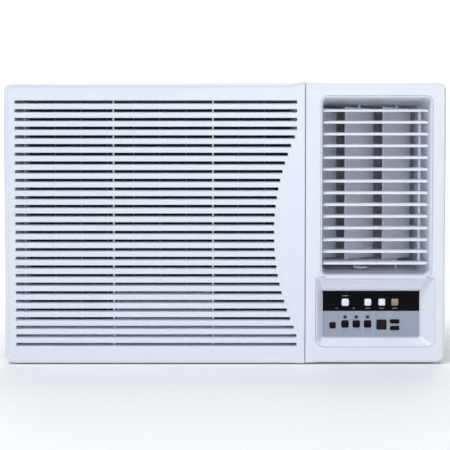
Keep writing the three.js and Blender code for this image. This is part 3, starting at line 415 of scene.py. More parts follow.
def rod(facing: Facing, centre: Sequence[float], radius: float, start: float, end: float,
        sides: int = 24, edge: float = 0.3) -> Skin:
    """Return a round bar with rounded ends, along the depth axis of a facing."""
    outline = circle(centre[0], centre[1], radius, sides)
    return skin_of(plate_stack(outline, start, end, edge, edge, facing))


def lathe(profile: Array, centre: Sequence[float], axis: int, sides: int = 48) -> Skin:
    """A profile of (radius, level) turned about an axis: radius * (cos, sin) round the centre.

    Args:
        profile: Points from one end to the other, both on or near the axis.
        centre: A point on the axis; levels are counted from it.
        axis: 0, 1 or 2 for X, Y or Z.
        sides: Steps round the axis.

    Returns:
        The closed skin.
    """
    first, second = [(1, 2), (2, 0), (0, 1)][axis]
    angles = np.linspace(0.0, 2.0 * math.pi, sides, endpoint=False)
    rings = []
    for radius, level in profile:
        points = np.zeros((sides, 3)) + np.array(centre, dtype=float)
        points[:, axis] += level
        points[:, first] += max(radius, 0.02) * np.cos(angles)
        points[:, second] += max(radius, 0.02) * np.sin(angles)
        rings.append(points)
    return skin_of(rings)


def smooth_path(corners: Array, bend: float, steps: int = 8) -> Array:
    """A path through corners, each replaced by a quadratic curve that starts a bend length away.

    Args:
        corners: The corner points.
        bend: Length of path that each bend takes on either side.
        steps: Points in each bend.

    Returns:
        The path's points.
    """
    points = [corners[0]]
    for before, corner, after in zip(corners[:-2], corners[1:-1], corners[2:]):
        into = corner + bend * (before - corner) / np.linalg.norm(before - corner)
        out = corner + bend * (after - corner) / np.linalg.norm(after - corner)
        t = np.linspace(0.0, 1.0, steps)[:, None]
        points.extend((1 - t) ** 2 * into + 2 * t * (1 - t) * corner + t ** 2 * out)
    points.append(corners[-1])
    return np.array(points)


def tube(path: Array, radius: float, sides: int = 12) -> Skin:
    """A round tube: at each path point, a circle in the plane across the path's direction.

    Each plane's first axis is the one before it, made square to the new direction, so that
    the tube doesn't twist.

    Args:
        path: Points along the middle of the tube.
        radius: Its radius.
        sides: Points round it.

    Returns:
        The closed skin.
    """
    along = np.gradient(path, axis=0)
    along /= np.linalg.norm(along, axis=1, keepdims=True)
    side = np.cross(along[0], [0.0, 0.0, 1.0] if abs(along[0][2]) < 0.9 else [1.0, 0.0, 0.0])
    angles = np.linspace(0.0, 2.0 * math.pi, sides, endpoint=False)[:, None]
    rings = []
    for point, direction in zip(path, along):
        side = side - direction * float(np.dot(side, direction))
        side /= np.linalg.norm(side)
        up = np.cross(direction, side)
        rings.append(point + radius * (np.cos(angles) * side + np.sin(angles) * up))
    return skin_of(rings)


def densified(outline: Array, spacing: float, stops: Sequence[float] = ()) -> Array:
    """Add points along an outline's long edges, and where it crosses given first coordinates.

    Args:
        outline: Counter-clockwise points.
        spacing: Longest edge that is left whole.
        stops: First coordinates at which edges get a point too.

    Returns:
        The outline with its own points and the added ones.
    """
    points: list[Array] = []
    for start, end in zip(outline, np.roll(outline, -1, axis=0)):
        count = max(1, int(math.ceil(np.linalg.norm(end - start) / spacing)))
        shares = list(np.linspace(0.0, 1.0, count, endpoint=False))
        run = end[0] - start[0]
        if abs(run) > 1.0:
            shares += [(stop - start[0]) / run for stop in stops if 0.0 < (stop - start[0]) / run < 1.0]
        points.extend(start + (end - start) * share for share in sorted(set(shares)))
    return np.array(points)


# ---------------------------------------------------------------- finishes

class Board:
    """A material's nodes, with short ways to add and join them."""

    def __init__(self, name: str) -> None:
        """Make an empty material with one shader.

        Args:
            name: The material's name.
        """
        self.material = bpy.data.materials.new(name)
        self.material.use_nodes = True
        self.tree = self.material.node_tree
        self.shader = self.tree.nodes["Principled BSDF"]
        self.place = self.tree.nodes.new("ShaderNodeTexCoord").outputs["Object"]

    def add(self, kind: str, values: Optional[dict[str, object]] = None, **options: object) -> bpy.types.Node:
        """Add a node.

        Args:
            kind: The node's type name, after "ShaderNode".
            values: Input names with numbers, or with sockets to link from.
            **options: The node's own settings.

        Returns:
            The new node.
        """
        node = self.tree.nodes.new("ShaderNode" + kind)
        for option, value in options.items():
            setattr(node, option, value)
        for name, value in (values or {}).items():
            self.put(node.inputs[name], value)
        return node

    def put(self, socket: Socket, value: object) -> None:
        """Link a socket from another, or set its number."""
        if isinstance(value, Socket):
            self.tree.links.new(value, socket)
        else:
            socket.default_value = value

    def noise(self, scale: float, stretch: Sequence[float] = (1.0, 1.0, 1.0),
              detail: float = 3.0) -> Socket:
        """Return noise from 0 to 1 on object coordinates, stretched by a scale for each axis."""
        place = self.add("Mapping", {"Vector": self.place, "Scale": tuple(stretch)}).outputs["Vector"]
        node = self.add("TexNoise", {"Vector": place, "Scale": scale, "Detail": detail, "Roughness": 0.55})
        return node.outputs["Fac"]

    def spread(self, source: Socket, low: float, high: float) -> Socket:
        """Return a 0 to 1 value mapped to another range."""
        node = self.add("MapRange", {"Value": source, "From Min": 0.25, "From Max": 0.75,
                                     "To Min": low, "To Max": high})
        return node.outputs["Result"]

    def blend(self, share: Socket, first: Sequence[float],
              second: Sequence[float]) -> Socket:
        """Mix two colours.

        Args:
            share: The second colour's share.
            first: The first colour.
            second: The second colour.

        Returns:
            The mixed colour.
        """
        node = self.add("Mix", data_type="RGBA")
        colours = [socket for socket in node.inputs if socket.type == "RGBA"]
        self.put(node.inputs[0], share)
        for socket, colour in zip(colours, (first, second)):
            socket.default_value = (*colour, 1.0)
        return next(socket for socket in node.outputs if socket.type == "RGBA")

    def paint(self, share: Socket, shades: Sequence[Sequence[float]]) -> None:
        """Give the shader a colour between two shades."""
        self.put(self.shader.inputs["Base Color"], self.blend(share, *shades))

    def roughen(self, share: Socket, low: float, high: float) -> None:
        """Give the shader a roughness between two values."""
        self.put(self.shader.inputs["Roughness"], self.spread(share, low, high))

    def relief(self, height: Socket, distance: float) -> None:
        """Give the shader a bump, chained onto any that it has already.

        Args:
            height: The bump's height, from 0 to 1.
            distance: Its depth in metres.
        """
        node = self.add("Bump", {"Height": height, "Distance": distance, "Strength": 1.0})
        earlier = self.shader.inputs["Normal"].links
        if earlier:
            self.put(node.inputs["Normal"], earlier[0].from_socket)
        self.put(self.shader.inputs["Normal"], node.outputs["Normal"])


@dataclass(frozen=True)
class Finish:
    """A moulded or painted surface: faint mottle in colour and roughness over a fine grain."""

    name: str
    colour: tuple[float, float, float]
    roughness: float = 0.4
    metallic: float = 0.0
    mottle: float = 0.03
    mottle_scale: float = 14.0
    grain_scale: float = 1400.0
    grain_depth: float = 0.00002
    coat: float = 0.0
    specular: float = 0.5

    def shades(self, amount: float) -> tuple[tuple[float, ...], tuple[float, ...]]:
        """Return the colour darkened and lightened by a share."""
        dark = tuple(channel * (1.0 - amount) for channel in self.colour)
        light = tuple(min(1.0, channel * (1.0 + amount)) for channel in self.colour)
        return dark, light

    def dress(self, board: Board) -> None:
        """Add this finish's colour, roughness and grain to a board.

        Args:
            board: The material's nodes.
        """
        soft = board.noise(self.mottle_scale)
        fine = board.noise(self.grain_scale, detail=2.0)
        board.paint(soft, self.shades(self.mottle))
        board.roughen(soft, self.roughness * 0.9, self.roughness * 1.12)
        board.relief(fine, self.grain_depth)

    def material(self) -> bpy.types.Material:
        """Return this finish's material, made once."""
        known = bpy.data.materials.get(self.name)
        if known:
            return known
        board = Board(self.name)
        board.shader.inputs["Metallic"].default_value = self.metallic
        board.shader.inputs["Specular IOR Level"].default_value = self.specular
        board.shader.inputs["Coat Weight"].default_value = self.coat
        board.shader.inputs["Coat Roughness"].default_value = 0.04
        self.dress(board)
        return board.material


@dataclass(frozen=True)
class BrushedFinish(Finish):
    """Metal or film brushed along one axis: noise drawn out into long streaks."""

    streak: tuple[float, float, float] = (1.0, 1.0, 0.02)
    streak_scale: float = 1500.0
    contrast: float = 0.12

    def dress(self, board: Board) -> None:
        """Add streaks in colour, roughness and relief.

        Args:
            board: The material's nodes.
        """
        streaks = board.noise(self.streak_scale, self.streak, 4.0)
        broad = board.noise(self.streak_scale * 0.12, self.streak, 2.0)
        board.paint(streaks, self.shades(self.contrast))
        board.roughen(broad, self.roughness * 0.75, self.roughness * 1.25)
        board.relief(streaks, self.grain_depth)


@dataclass(frozen=True)
class SpangleFinish(Finish):
    """Hot-dipped zinc: crystals of slightly different grey, and a soft roll grain."""

    crystal_scale: float = 90.0

    def dress(self, board: Board) -> None:
        """Add crystals and grain.

        Args:
            board: The material's nodes.
        """
        cells = board.add("TexVoronoi", {"Vector": board.place, "Scale": self.crystal_scale})
        tone = board.add("SeparateColor", {"Color": cells.outputs["Color"]}).outputs[0]
        board.paint(tone, self.shades(0.14))
        board.roughen(tone, self.roughness * 0.8, self.roughness * 1.3)
        board.relief(board.noise(self.grain_scale), self.grain_depth)


@dataclass(frozen=True)
class NetFinish(Finish):
    """A woven net: bands across and up; the threads keep the net's own dark colour, and the openings are
    painted darker still as painted shade of the dim space seen through them.
    """

    thread_scale: float = 330.0

    def dress(self, board: Board) -> None:
        """Add the weave, with painted shade in its openings.

        Args:
            board: The material's nodes.
        """
        bands = [board.add("TexWave", {"Vector": board.place, "Scale": self.thread_scale},
                           wave_type="BANDS", bands_direction=axis).outputs["Fac"] for axis in ("X", "Z")]
        threads_and_shaded_openings = board.add("Math", operation="MAXIMUM")
        board.put(threads_and_shaded_openings.inputs[0], bands[0])
        board.put(threads_and_shaded_openings.inputs[1], bands[1])
        # Painted shade: the openings take the darker colour, standing in for the shaded interior seen through
        # the net; the threads take the lighter one.
        board.paint(threads_and_shaded_openings.outputs[0], self.shades(0.6))
        board.roughen(threads_and_shaded_openings.outputs[0], 0.9, 0.6)
        board.relief(threads_and_shaded_openings.outputs[0], 0.0004)


@dataclass(frozen=True)
class CircuitFinish(Finish):
    """A circuit board: solder mask with lighter copper tracks under it."""

    def dress(self, board: Board) -> None:
        """Add tracks from a brick pattern and a speckle of solder pads.

        Args:
            board: The material's nodes.
        """
        bricks = board.add("TexBrick", {"Vector": board.place, "Scale": 220.0, "Mortar Size": 0.03})
        colours = self.shades(0.35)
        bricks.inputs["Color1"].default_value = (*self.colour, 1.0)
        bricks.inputs["Color2"].default_value = (*colours[0], 1.0)
        bricks.inputs["Mortar"].default_value = (0.10, 0.32, 0.16, 1.0)
        board.put(board.shader.inputs["Base Color"], bricks.outputs["Color"])
        board.roughen(board.noise(60.0), 0.3, 0.5)
        board.relief(bricks.outputs["Fac"], 0.00005)


WHITE_SHELL = Finish("white_shell_abs", (0.74, 0.785, 0.88), 0.36, grain_depth=0.000012, mottle=0.012)
WHITE_BLADE = Finish("white_blade_abs", (0.78, 0.82, 0.90), 0.33, grain_depth=0.00001, mottle=0.015)
GREY_VANE = Finish("pale_vane_plastic", (0.76, 0.79, 0.86), 0.45, mottle=0.04)
DARK_PLASTIC = Finish("dark_moulding", (0.055, 0.060, 0.070), 0.55, mottle=0.08)
FAN_PLASTIC = Finish("fan_moulding", (0.16, 0.17, 0.19), 0.5, mottle=0.08)
CARTRIDGE_PLASTIC = Finish("cartridge_plastic", (0.50, 0.53, 0.58), 0.6, mottle=0.1)
FILTER_NET = NetFinish("filter_net", (0.030, 0.033, 0.040), 0.8)
FILTER_RIB = Finish("filter_rib", (0.22, 0.24, 0.28), 0.6, mottle=0.06)
DUCT_FOAM = Finish("duct_foam_moulding", (0.78, 0.80, 0.84), 0.75, mottle=0.05, mottle_scale=40.0,
                   grain_scale=700.0, grain_depth=0.0001)
BLACK_GLOSS = Finish("black_gloss_overlay", (0.002, 0.002, 0.0035), 0.14, mottle=0.1,
                     grain_depth=0.000002, specular=0.05)
SOFT_KEY = Finish("black_soft_key", (0.0025, 0.0025, 0.004), 0.35, mottle=0.1, grain_depth=0.000006,
                  specular=0.08)
SMOKED_WINDOW = Finish("smoked_window", (0.012, 0.0028, 0.0045), 0.1, mottle=0.15, grain_depth=0.000001,
                       specular=0.12)
SILVER_FILM = BrushedFinish("brushed_silver_film", (0.27, 0.315, 0.40), 0.4, 0.35, grain_depth=0.000008,
                            streak=(1.0, 1.0, 0.012), streak_scale=520.0, contrast=0.22)
AMBER_KEY = Finish("amber_key_plastic", (0.40, 0.27, 0.17), 0.3, mottle=0.12, mottle_scale=120.0)
WHITE_PRINT = Finish("white_print", (0.36, 0.39, 0.46), 0.5, mottle=0.08, mottle_scale=600.0)
DARK_PRINT = Finish("dark_print", (0.05, 0.035, 0.03), 0.5, mottle=0.1, mottle_scale=600.0)
LAMP_LENS = Finish("lamp_lens", (0.012, 0.014, 0.022), 0.12, mottle=0.08, mottle_scale=300.0)
CABINET_PAINT = Finish("cabinet_powder_coat", (0.60, 0.61, 0.60), 0.48, 0.0, mottle=0.03,
                       grain_scale=600.0, grain_depth=0.00005)
ZINC_SHEET = SpangleFinish("galvanised_sheet", (0.42, 0.44, 0.46), 0.38, 0.85)
FIN_ALUMINIUM = BrushedFinish("fin_aluminium", (0.62, 0.65, 0.68), 0.42, 0.55, grain_depth=0.000006,
                              streak=(1.0, 1.0, 0.02), streak_scale=900.0, contrast=0.07)
COPPER = BrushedFinish("drawn_copper", (0.60, 0.27, 0.14), 0.3, 0.95, grain_depth=0.000006,
                       streak=(0.3, 0.3, 0.3), streak_scale=300.0, contrast=0.2)
BLACK_ENAMEL = Finish("black_enamel", (0.018, 0.018, 0.020), 0.42, mottle=0.15, grain_scale=500.0,
                      grain_depth=0.00006)
MOTOR_STEEL = SpangleFinish("motor_steel", (0.30, 0.31, 0.32), 0.4, 0.85, crystal_scale=160.0)
RUBBER = Finish("moulded_rubber", (0.016, 0.016, 0.018), 0.8, mottle=0.12, grain_depth=0.00005)
CIRCUIT = CircuitFinish("circuit_board", (0.015, 0.11, 0.045), 0.4)


class Body(str, Enum):
    """Bodies that pieces ride on, other than the numbered blades and vanes."""

    ROOT = "root"
    GRILLE = "grille"
    BLADE_LINK = "blade_link"
    VANE_LINK = "vane_link"
    CRANK = "swing_crank"
    ROTOR = "fan_rotor"
    SLIDER = "vent_slider"


def make_piece(name: str, skin: Skin, finish: Finish, body: str,
               stands_for: Sequence[str] = (), crease: float = 38.0) -> bpy.types.Object:
    """Put a skin into a mesh object, dress it and say what it rides on.

    Args:
        name: The piece's name.
        skin: Its surface, in millimetres.
        finish: Its finish.
        body: The body it moves with.
        stands_for: CAD nodes that it replaces.
        crease: Angle in degrees past which an edge stays sharp.

    Returns:
        The object.
    """
    mesh = bpy.data.meshes.new(name)
    mesh.from_pydata((skin.points * MM).tolist(), [], skin.faces)
    work = bmesh.new()
    work.from_mesh(mesh)
    bmesh.ops.remove_doubles(work, verts=work.verts, dist=2e-6)
    bmesh.ops.recalc_face_normals(work, faces=work.faces)
    work.to_mesh(mesh)
    work.free()
    mesh.shade_smooth()
    mesh.set_sharp_from_angle(angle=math.radians(crease))
    mesh.materials.append(finish.material())
    obj = bpy.data.objects.new(name, mesh)
    bpy.context.scene.collection.objects.link(obj)
    weighted = obj.modifiers.new("flat faces", "WEIGHTED_NORMAL")
    weighted.keep_sharp = True
    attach(obj, str(body.value if isinstance(body, Body) else body))
    if stands_for:
        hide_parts(*stands_for)
    LOG.info("%s: %d faces", name, len(mesh.polygons))
    return obj


# ---------------------------------------------------------------- front

@dataclass
class IntakeGrille:
    """The hinged cover on the left: slits that end on an arc, and a plain crescent beside it."""

    slit_count: int = 29
    slit_height: float = 3.8
    slit_low: float = 30.0
    slit_top_margin: float = 29.3
    slit_left_margin: float = 16.5
    slit_ledge: float = 2.2
    slit_right_margin: float = 12.2
    arc_radius: float = 351.0
    arc_depth: float = 46.0
    arc_z: float = 197.0
    slab: float = 8.0
    wall: float = 3.0
    corner: float = 14.0
    recess: float = 0.9
    band: float = 6.4
    bead: float = 5.0
    ear_offsets: tuple[float, float] = (33.0, 423.0)
    ear_half: float = 3.4
    rib_offsets: tuple[float, float] = (163.0, 312.0)
    pin: float = 2.0
    pin_overlap: float = 2.0

    def __post_init__(self) -> None:
        """Take the overall box from the frame."""
        low, high = box_mm("intake_grille")
        self.left, self.front, self.bottom = low
        self.right, self.back, self.top = high
        self.ears = [self.left + offset for offset in self.ear_offsets]

    def arc_x(self, z: Array, shift: float = 0.0) -> Array:
        """Where the arc stands at a height: its centre less the root of radius squared less rise squared."""
        centre = self.right - self.arc_depth + self.arc_radius + shift
        rise = np.minimum(np.abs(z - self.arc_z), self.arc_radius)
        return centre - np.sqrt(self.arc_radius ** 2 - rise ** 2)

    def slits(self) -> list[list[Array]]:
        """Return one hole stack for each slit, even in pitch from the lowest to the highest.

        The roof is level. The floor starts a ledge's height lower and climbs to the back.
        """
        heights = np.linspace(self.slit_low, self.top - self.slit_top_margin, self.slit_count)
        ends = np.minimum(self.arc_x(heights), self.right - self.slit_right_margin)
        left = self.left + self.slit_left_margin
        half = self.slit_height / 2
        front = self.front + self.recess
        stacks = []
        for z, end in zip(heights, ends):
            mouth = round_rect(left, end, z - half - self.slit_ledge, z + half, 1.4, 4)
            throat = round_rect(left, end, z - half, z + half, 1.4, 4)
            rings = [ring(outset(mouth, inset), front + depth) for inset, depth in rounded_steps(0.6, 4)]
            rings += [ring(mouth * (1 - share) + throat * share, front + self.slab * depth)
                      for share, depth in ((0.35, 0.25), (0.65, 0.5), (0.88, 0.75), (1.0, 1.0))]
            stacks.append(rings)
        return stacks

    def shell(self) -> Skin:
        """Return the pierced cover: a raised band round a set-back face, with walls to the back."""
        notch = [x + side * self.ear_half for x in self.ears for side in (-1.0, 1.0)]
        stops = sorted(notch + [x + side * 0.05 for x in notch for side in (-1.0, 1.0)])
        outline = densified(round_rect(self.left, self.right, self.bottom, self.top,
                                       [self.corner, 1.2, 1.2, self.corner], 8), 24.0, stops)
        share = np.clip((self.right - outline[:, 0] - 1.3) / 14.0, 0.0, 1.0)
        edge = 0.8 + 3.9 * share
        band = 1.0 + (self.band - 1.0) * share
        on_top = outline[:, 1] > self.top - self.bead - 0.5
        in_ear = np.zeros(len(outline), dtype=bool)
        for x in self.ears:
            in_ear |= np.abs(outline[:, 0] - x) < self.ear_half
        back = np.where(on_top, self.back - self.bead, self.back)
        back = np.where(on_top & in_ear, self.back - 2 * self.bead - 0.6, back)
        slab_back = self.front + self.recess + self.slab
        body = shell_stack(outline, self.front, slab_back, back, self.wall, edge)
        step = [(band + 0.7, self.recess), (band + 0.45, self.recess * 0.93),
                (band + 0.2, self.recess * 0.25), (band, 0.0)]
        rim = [ring(outset(outline, -inset), self.front + depth) for inset, depth in step]
        return pierced([rim + body, *self.slits()])

    def crescent(self) -> Skin:
        """Return the plain face between the arc and the seam, flush with the band."""
        edge_x = self.right - 1.1
        reach = math.sqrt(self.arc_radius ** 2 - (self.arc_radius - self.arc_depth + 6.5) ** 2)
        z = np.linspace(self.arc_z + reach, max(self.arc_z - reach, self.bottom + self.band), 72)
        left = np.stack([self.arc_x(z, 3.0), z], axis=1)
        right = np.array([[edge_x, left[-1, 1]], [edge_x, left[0, 1]]])
        outline = densified(np.vstack([left, right]), 8.0)
        share = np.clip((edge_x - outline[:, 0]) / 4.0, 0.15, 1.0)
        front = self.front
        rings = [ring(outset(outline, -1.6 * share * (1 - math.sin(a))),
                      front + self.recess * (1 - math.cos(a))) for a in np.linspace(0, math.pi / 2, 6)]
        rings.append(ring(outline, front + self.recess + 0.6))
        return pierced([rings])

    def hinge(self) -> Skin:
        """Return the hinge bead along the top, with the pin left bare at each ear."""
        axis = (self.back - self.bead, self.top - self.bead)
        ends = [self.left + 2.5, self.ears[0] - self.ear_half, self.ears[0] + self.ear_half,
                self.ears[1] - self.ear_half, self.ears[1] + self.ear_half, self.right - 1.2]
        beads = [rod(Facing.SIDE, axis, self.bead, a, b, 32) for a, b in zip(ends[::2], ends[1::2])]
        reach = self.ear_half + self.pin_overlap
        pins = [rod(Facing.SIDE, axis, self.pin, x - reach, x + reach, 16) for x in self.ears]
        return total(beads + pins)

    def ribs(self) -> Skin:
        """Return the upright ribs behind the slits."""
        start = self.front + self.recess + self.slab - 0.4
        return total([plate(round_rect(self.left + offset - 1.2, self.left + offset + 1.2,
                                       self.bottom + 4, self.top - 6, 0.4, 2), start, start + 10.0, 0.3)
                      for offset in self.rib_offsets])

    def build(self) -> None:
        """Make the cover's pieces."""
        make_piece("intake_cover", self.shell() + self.crescent() + self.hinge() + self.ribs(), WHITE_SHELL,
                   Body.GRILLE, ["intake_grille"], 30.0)


@dataclass
class FrontFrame:
    """The fixed front: right-hand panel with the discharge mouth and control recess, and the hoop behind."""

    seam_gap: float = 0.5
    wall: float = 3.0
    inner_wall: float = 2.5
    corner: float = 14.0
    open_left: float = 25.4
    open_right: float = 23.0
    open_bottom: float = 133.0
    open_top: float = 23.0
    open_radius: float = 8.0
    mouth_taper: tuple[float, float, float, float] = (3.6, 8.0, 5.0, 7.0)
    mouth_depth: float = 39.5
    pocket_left: float = 18.0
    pocket_right: float = 17.0
    pocket_bottom: float = 27.5
    pocket_top: float = 116.0
    pocket_taper: tuple[float, float, float, float] = (8.4, 19.0, 11.5, 6.0)
    pocket_depth: float = 13.5
    pocket_bend: tuple[float, float] = (10.0, 3.0)
    lip: tuple[tuple[float, float], ...] = ((3.3, 0.0), (3.2, 1.9), (2.4, 1.9), (2.2, 0.3), (1.7, 0.0),
                                            (1.0, 0.15), (0.45, 0.6), (0.1, 1.3), (0.0, 2.2))
    bead: tuple[tuple[float, float], ...] = ((2.9, 0.0), (2.8, 2.0), (1.8, 2.0), (1.6, 0.3), (1.1, 0.0),
                                             (0.6, 0.1), (0.2, 0.5), (0.0, 1.1))
    cove: float = 11.0
    crest: float = 2.4
    seat: float = 5.5
    ear_half: float = 3.0
    ear_hole: float = 2.3
    intake: tuple[float, float, float, float] = (33.0, 20.0, 62.0, 27.0)

    def __post_init__(self) -> None:
        """Take the overall box and the seam from the frame."""
        low, high = box_mm("front_frame")
        self.left, self.front, self.bottom = low
        self.right, self.back, self.top = high
        _, grille_high = box_mm("intake_grille")
        self.seam = grille_high[0] + self.seam_gap
        self.panel_left = self.seam + self.seam_gap
        self.grille_back = grille_high[1]
        self.middle = self.grille_back + 1.0
        self.opening = (self.seam + self.open_left, self.right - self.open_right,
                        self.open_bottom, self.top - self.open_top)

    def mouth(self, depth: float, grow: float) -> Array:
        """Return the discharge mouth's outline at a depth behind the face, grown by an amount.

        Args:
            depth: Depth behind the face.
            grow: How far the outline lies outside the mouth.

        Returns:
            The outline.
        """
        share = depth / self.mouth_depth
        left, right, bottom, top = self.opening
        taper = self.mouth_taper
        return round_rect(left + taper[0] * share - grow, right - taper[1] * share + grow,
                          bottom + taper[2] * share - grow, top - taper[3] * share + grow,
                          self.open_radius + grow, 8)

    def mouth_stack(self) -> list[Array]:
        """Return the mouth's rings: round lip, tapering wall, thin end and the wall's outer side."""
        rings = [ring(self.mouth(depth, grow), self.front + depth) for grow, depth in self.lip]
        rings += [ring(self.mouth(depth, 0.0), self.front + depth) for depth in (14.0, 27.0)]
        end = self.mouth_depth
        rings += [ring(self.mouth(end, 0.0), self.front + end - 0.5),
                  ring(self.mouth(end, 0.5), self.front + end),
                  ring(self.mouth(end, self.inner_wall), self.front + end)]
        rings.append(ring(self.mouth(self.wall, self.inner_wall), self.front + self.wall))
        return rings

    def pocket(self, depth: float, grow: float) -> Array:
        """Return the control recess's outline at a depth.

        The sides and the ledge slope evenly. The top is a cove: a quarter circle that leaves the
        face square to it and ends facing forward, then a short step up to the panel.

        Args:
            depth: Depth behind the face.
            grow: How far the outline lies outside the recess.

        Returns:
            The outline.
        """
        share = depth / self.pocket_depth
        taper = self.pocket_taper
        sunk = min(depth / self.cove, 1.0)
        top = self.pocket_top + 1.0 + self.cove * math.sqrt(max(0.0, 1.0 - sunk ** 2))
        if depth > self.cove:
            fall = (depth - self.cove) / (self.pocket_depth - self.cove)
            top -= (1.0 + taper[3]) * fall
        bend = max(self.pocket_bend[0] + (self.pocket_bend[1] - self.pocket_bend[0]) * share, 1.0) + grow
        crest = self.crest + grow
        return round_rect(self.seam + self.pocket_left + taper[0] * share - grow,
                          self.right - self.pocket_right - taper[1] * share + grow,
                          self.pocket_bottom + taper[2] * share - grow, top + grow,
                          [bend, bend, crest, crest], 8)

    def pocket_stack(self) -> list[Array]:
        """Return the recess's rings: a bead round it, sloping walls, the panel's seat and its window."""
        deep = self.pocket_depth
        rings = [ring(self.pocket(depth, grow), self.front + depth) for grow, depth in self.bead]
        rings += [ring(self.pocket(depth, 0.0), self.front + depth)
                  for depth in (2.6, 4.0, 5.6, 7.2, 8.6, 9.8, 10.6, 11.0, 11.3, deep)]
        back = self.front + deep
        window = outset(self.pocket(deep, 0.0), -self.seat)
        outer = outset(self.pocket(deep, 0.0), self.inner_wall)
        rings += [ring(window, back), ring(window, back + self.inner_wall),
                  ring(outer, back + self.inner_wall)]
        rings.append(ring(self.pocket(self.wall, self.inner_wall), self.front + self.wall))
        return rings

    def panel(self) -> Skin:
        """Return the right-hand panel with its two openings."""
        outline = densified(round_rect(self.panel_left, self.right, self.bottom, self.top,
                                       [1.2, self.corner, self.corner, 1.2], 8), 20.0)
        share = np.clip((outline[:, 0] - self.panel_left - 1.3) / 14.0, 0.0, 1.0)
        edge = 0.8 + 4.2 * share
        body = shell_stack(outline, self.front, self.front + self.wall, self.middle, self.wall, edge)
        return pierced([body, self.mouth_stack(), self.pocket_stack()])

    def hoop(self) -> Skin:
        """Return the hoop behind the grille, with the intake opening and the room for the duct."""
        outline = densified(round_rect(self.left, self.right, self.bottom, self.top, self.corner, 8), 30.0)
        body = shell_stack(outline, self.middle, self.middle + self.wall, self.back, self.wall, 0.6)
        left, right, bottom, top = self.intake
        intake = round_rect(self.left + left, self.seam - right, bottom, self.top - top, 4.0, 4)
        duct = round_rect(self.seam + self.wall + 1, self.right - self.wall - 1.5,
                          self.bottom + self.wall + 1.5, self.top - self.wall - 1.5,
                          [1.0, 9.0, 9.0, 1.0], 4)
        holes = [hole_stack(shape, self.middle, self.middle + self.wall, 0.8) for shape in (intake, duct)]
        return pierced([body, *holes])

    def ears(self) -> Skin:
        """Return the two ears that carry the grille's hinge pin."""
        grille = IntakeGrille()
        y, z = grille.back - grille.bead, grille.top - grille.bead
        radius = grille.bead - 0.4
        pieces = []
        for x in grille.ears:
            profile = np.vstack([arc(y, z, radius, math.pi / 2, 3 * math.pi / 2, 12),
                                 [[self.middle + 1.0, z - radius], [self.middle + 1.0, z + radius]]])
            outer = plate_stack(profile, x - self.ear_half, x + self.ear_half, 0.3, 0.3, Facing.SIDE)
            hole = [ring(circle(y, z, self.ear_hole, 20), x + side, Facing.SIDE)
                    for side in (-self.ear_half, self.ear_half)]
            pieces.append(pierced([outer, hole], Facing.SIDE))
        return total(pieces)

    def rails(self) -> Skin:
        """Return the two channels that hold the air filter."""
        low, high = box_mm("air_filter")
        span = (low[2] + 8, high[2] - 8)
        pieces = []
        for edge, side in ((low[0], -1.0), (high[0], 1.0)):
            near, far = sorted((edge + side * 0.4, edge + side * 3.4))
            pieces.append(plate(round_rect(near, far, *span, 0.4, 2), low[1] - 2.4, self.middle + 0.5, 0.3))
            near, far = sorted((edge - side * 3.0, edge + side * 3.4))
            pieces.append(plate(round_rect(near, far, *span, 0.4, 2), low[1] - 2.4, low[1] - 0.4, 0.3))
        return total(pieces)

    def build(self) -> None:
        """Make the frame."""
        make_piece("front_moulding", self.panel() + self.hoop() + self.ears() + self.rails(), WHITE_SHELL,
                   Body.ROOT, ["front_frame"], 30.0)


# ---------------------------------------------------------------- air outlet

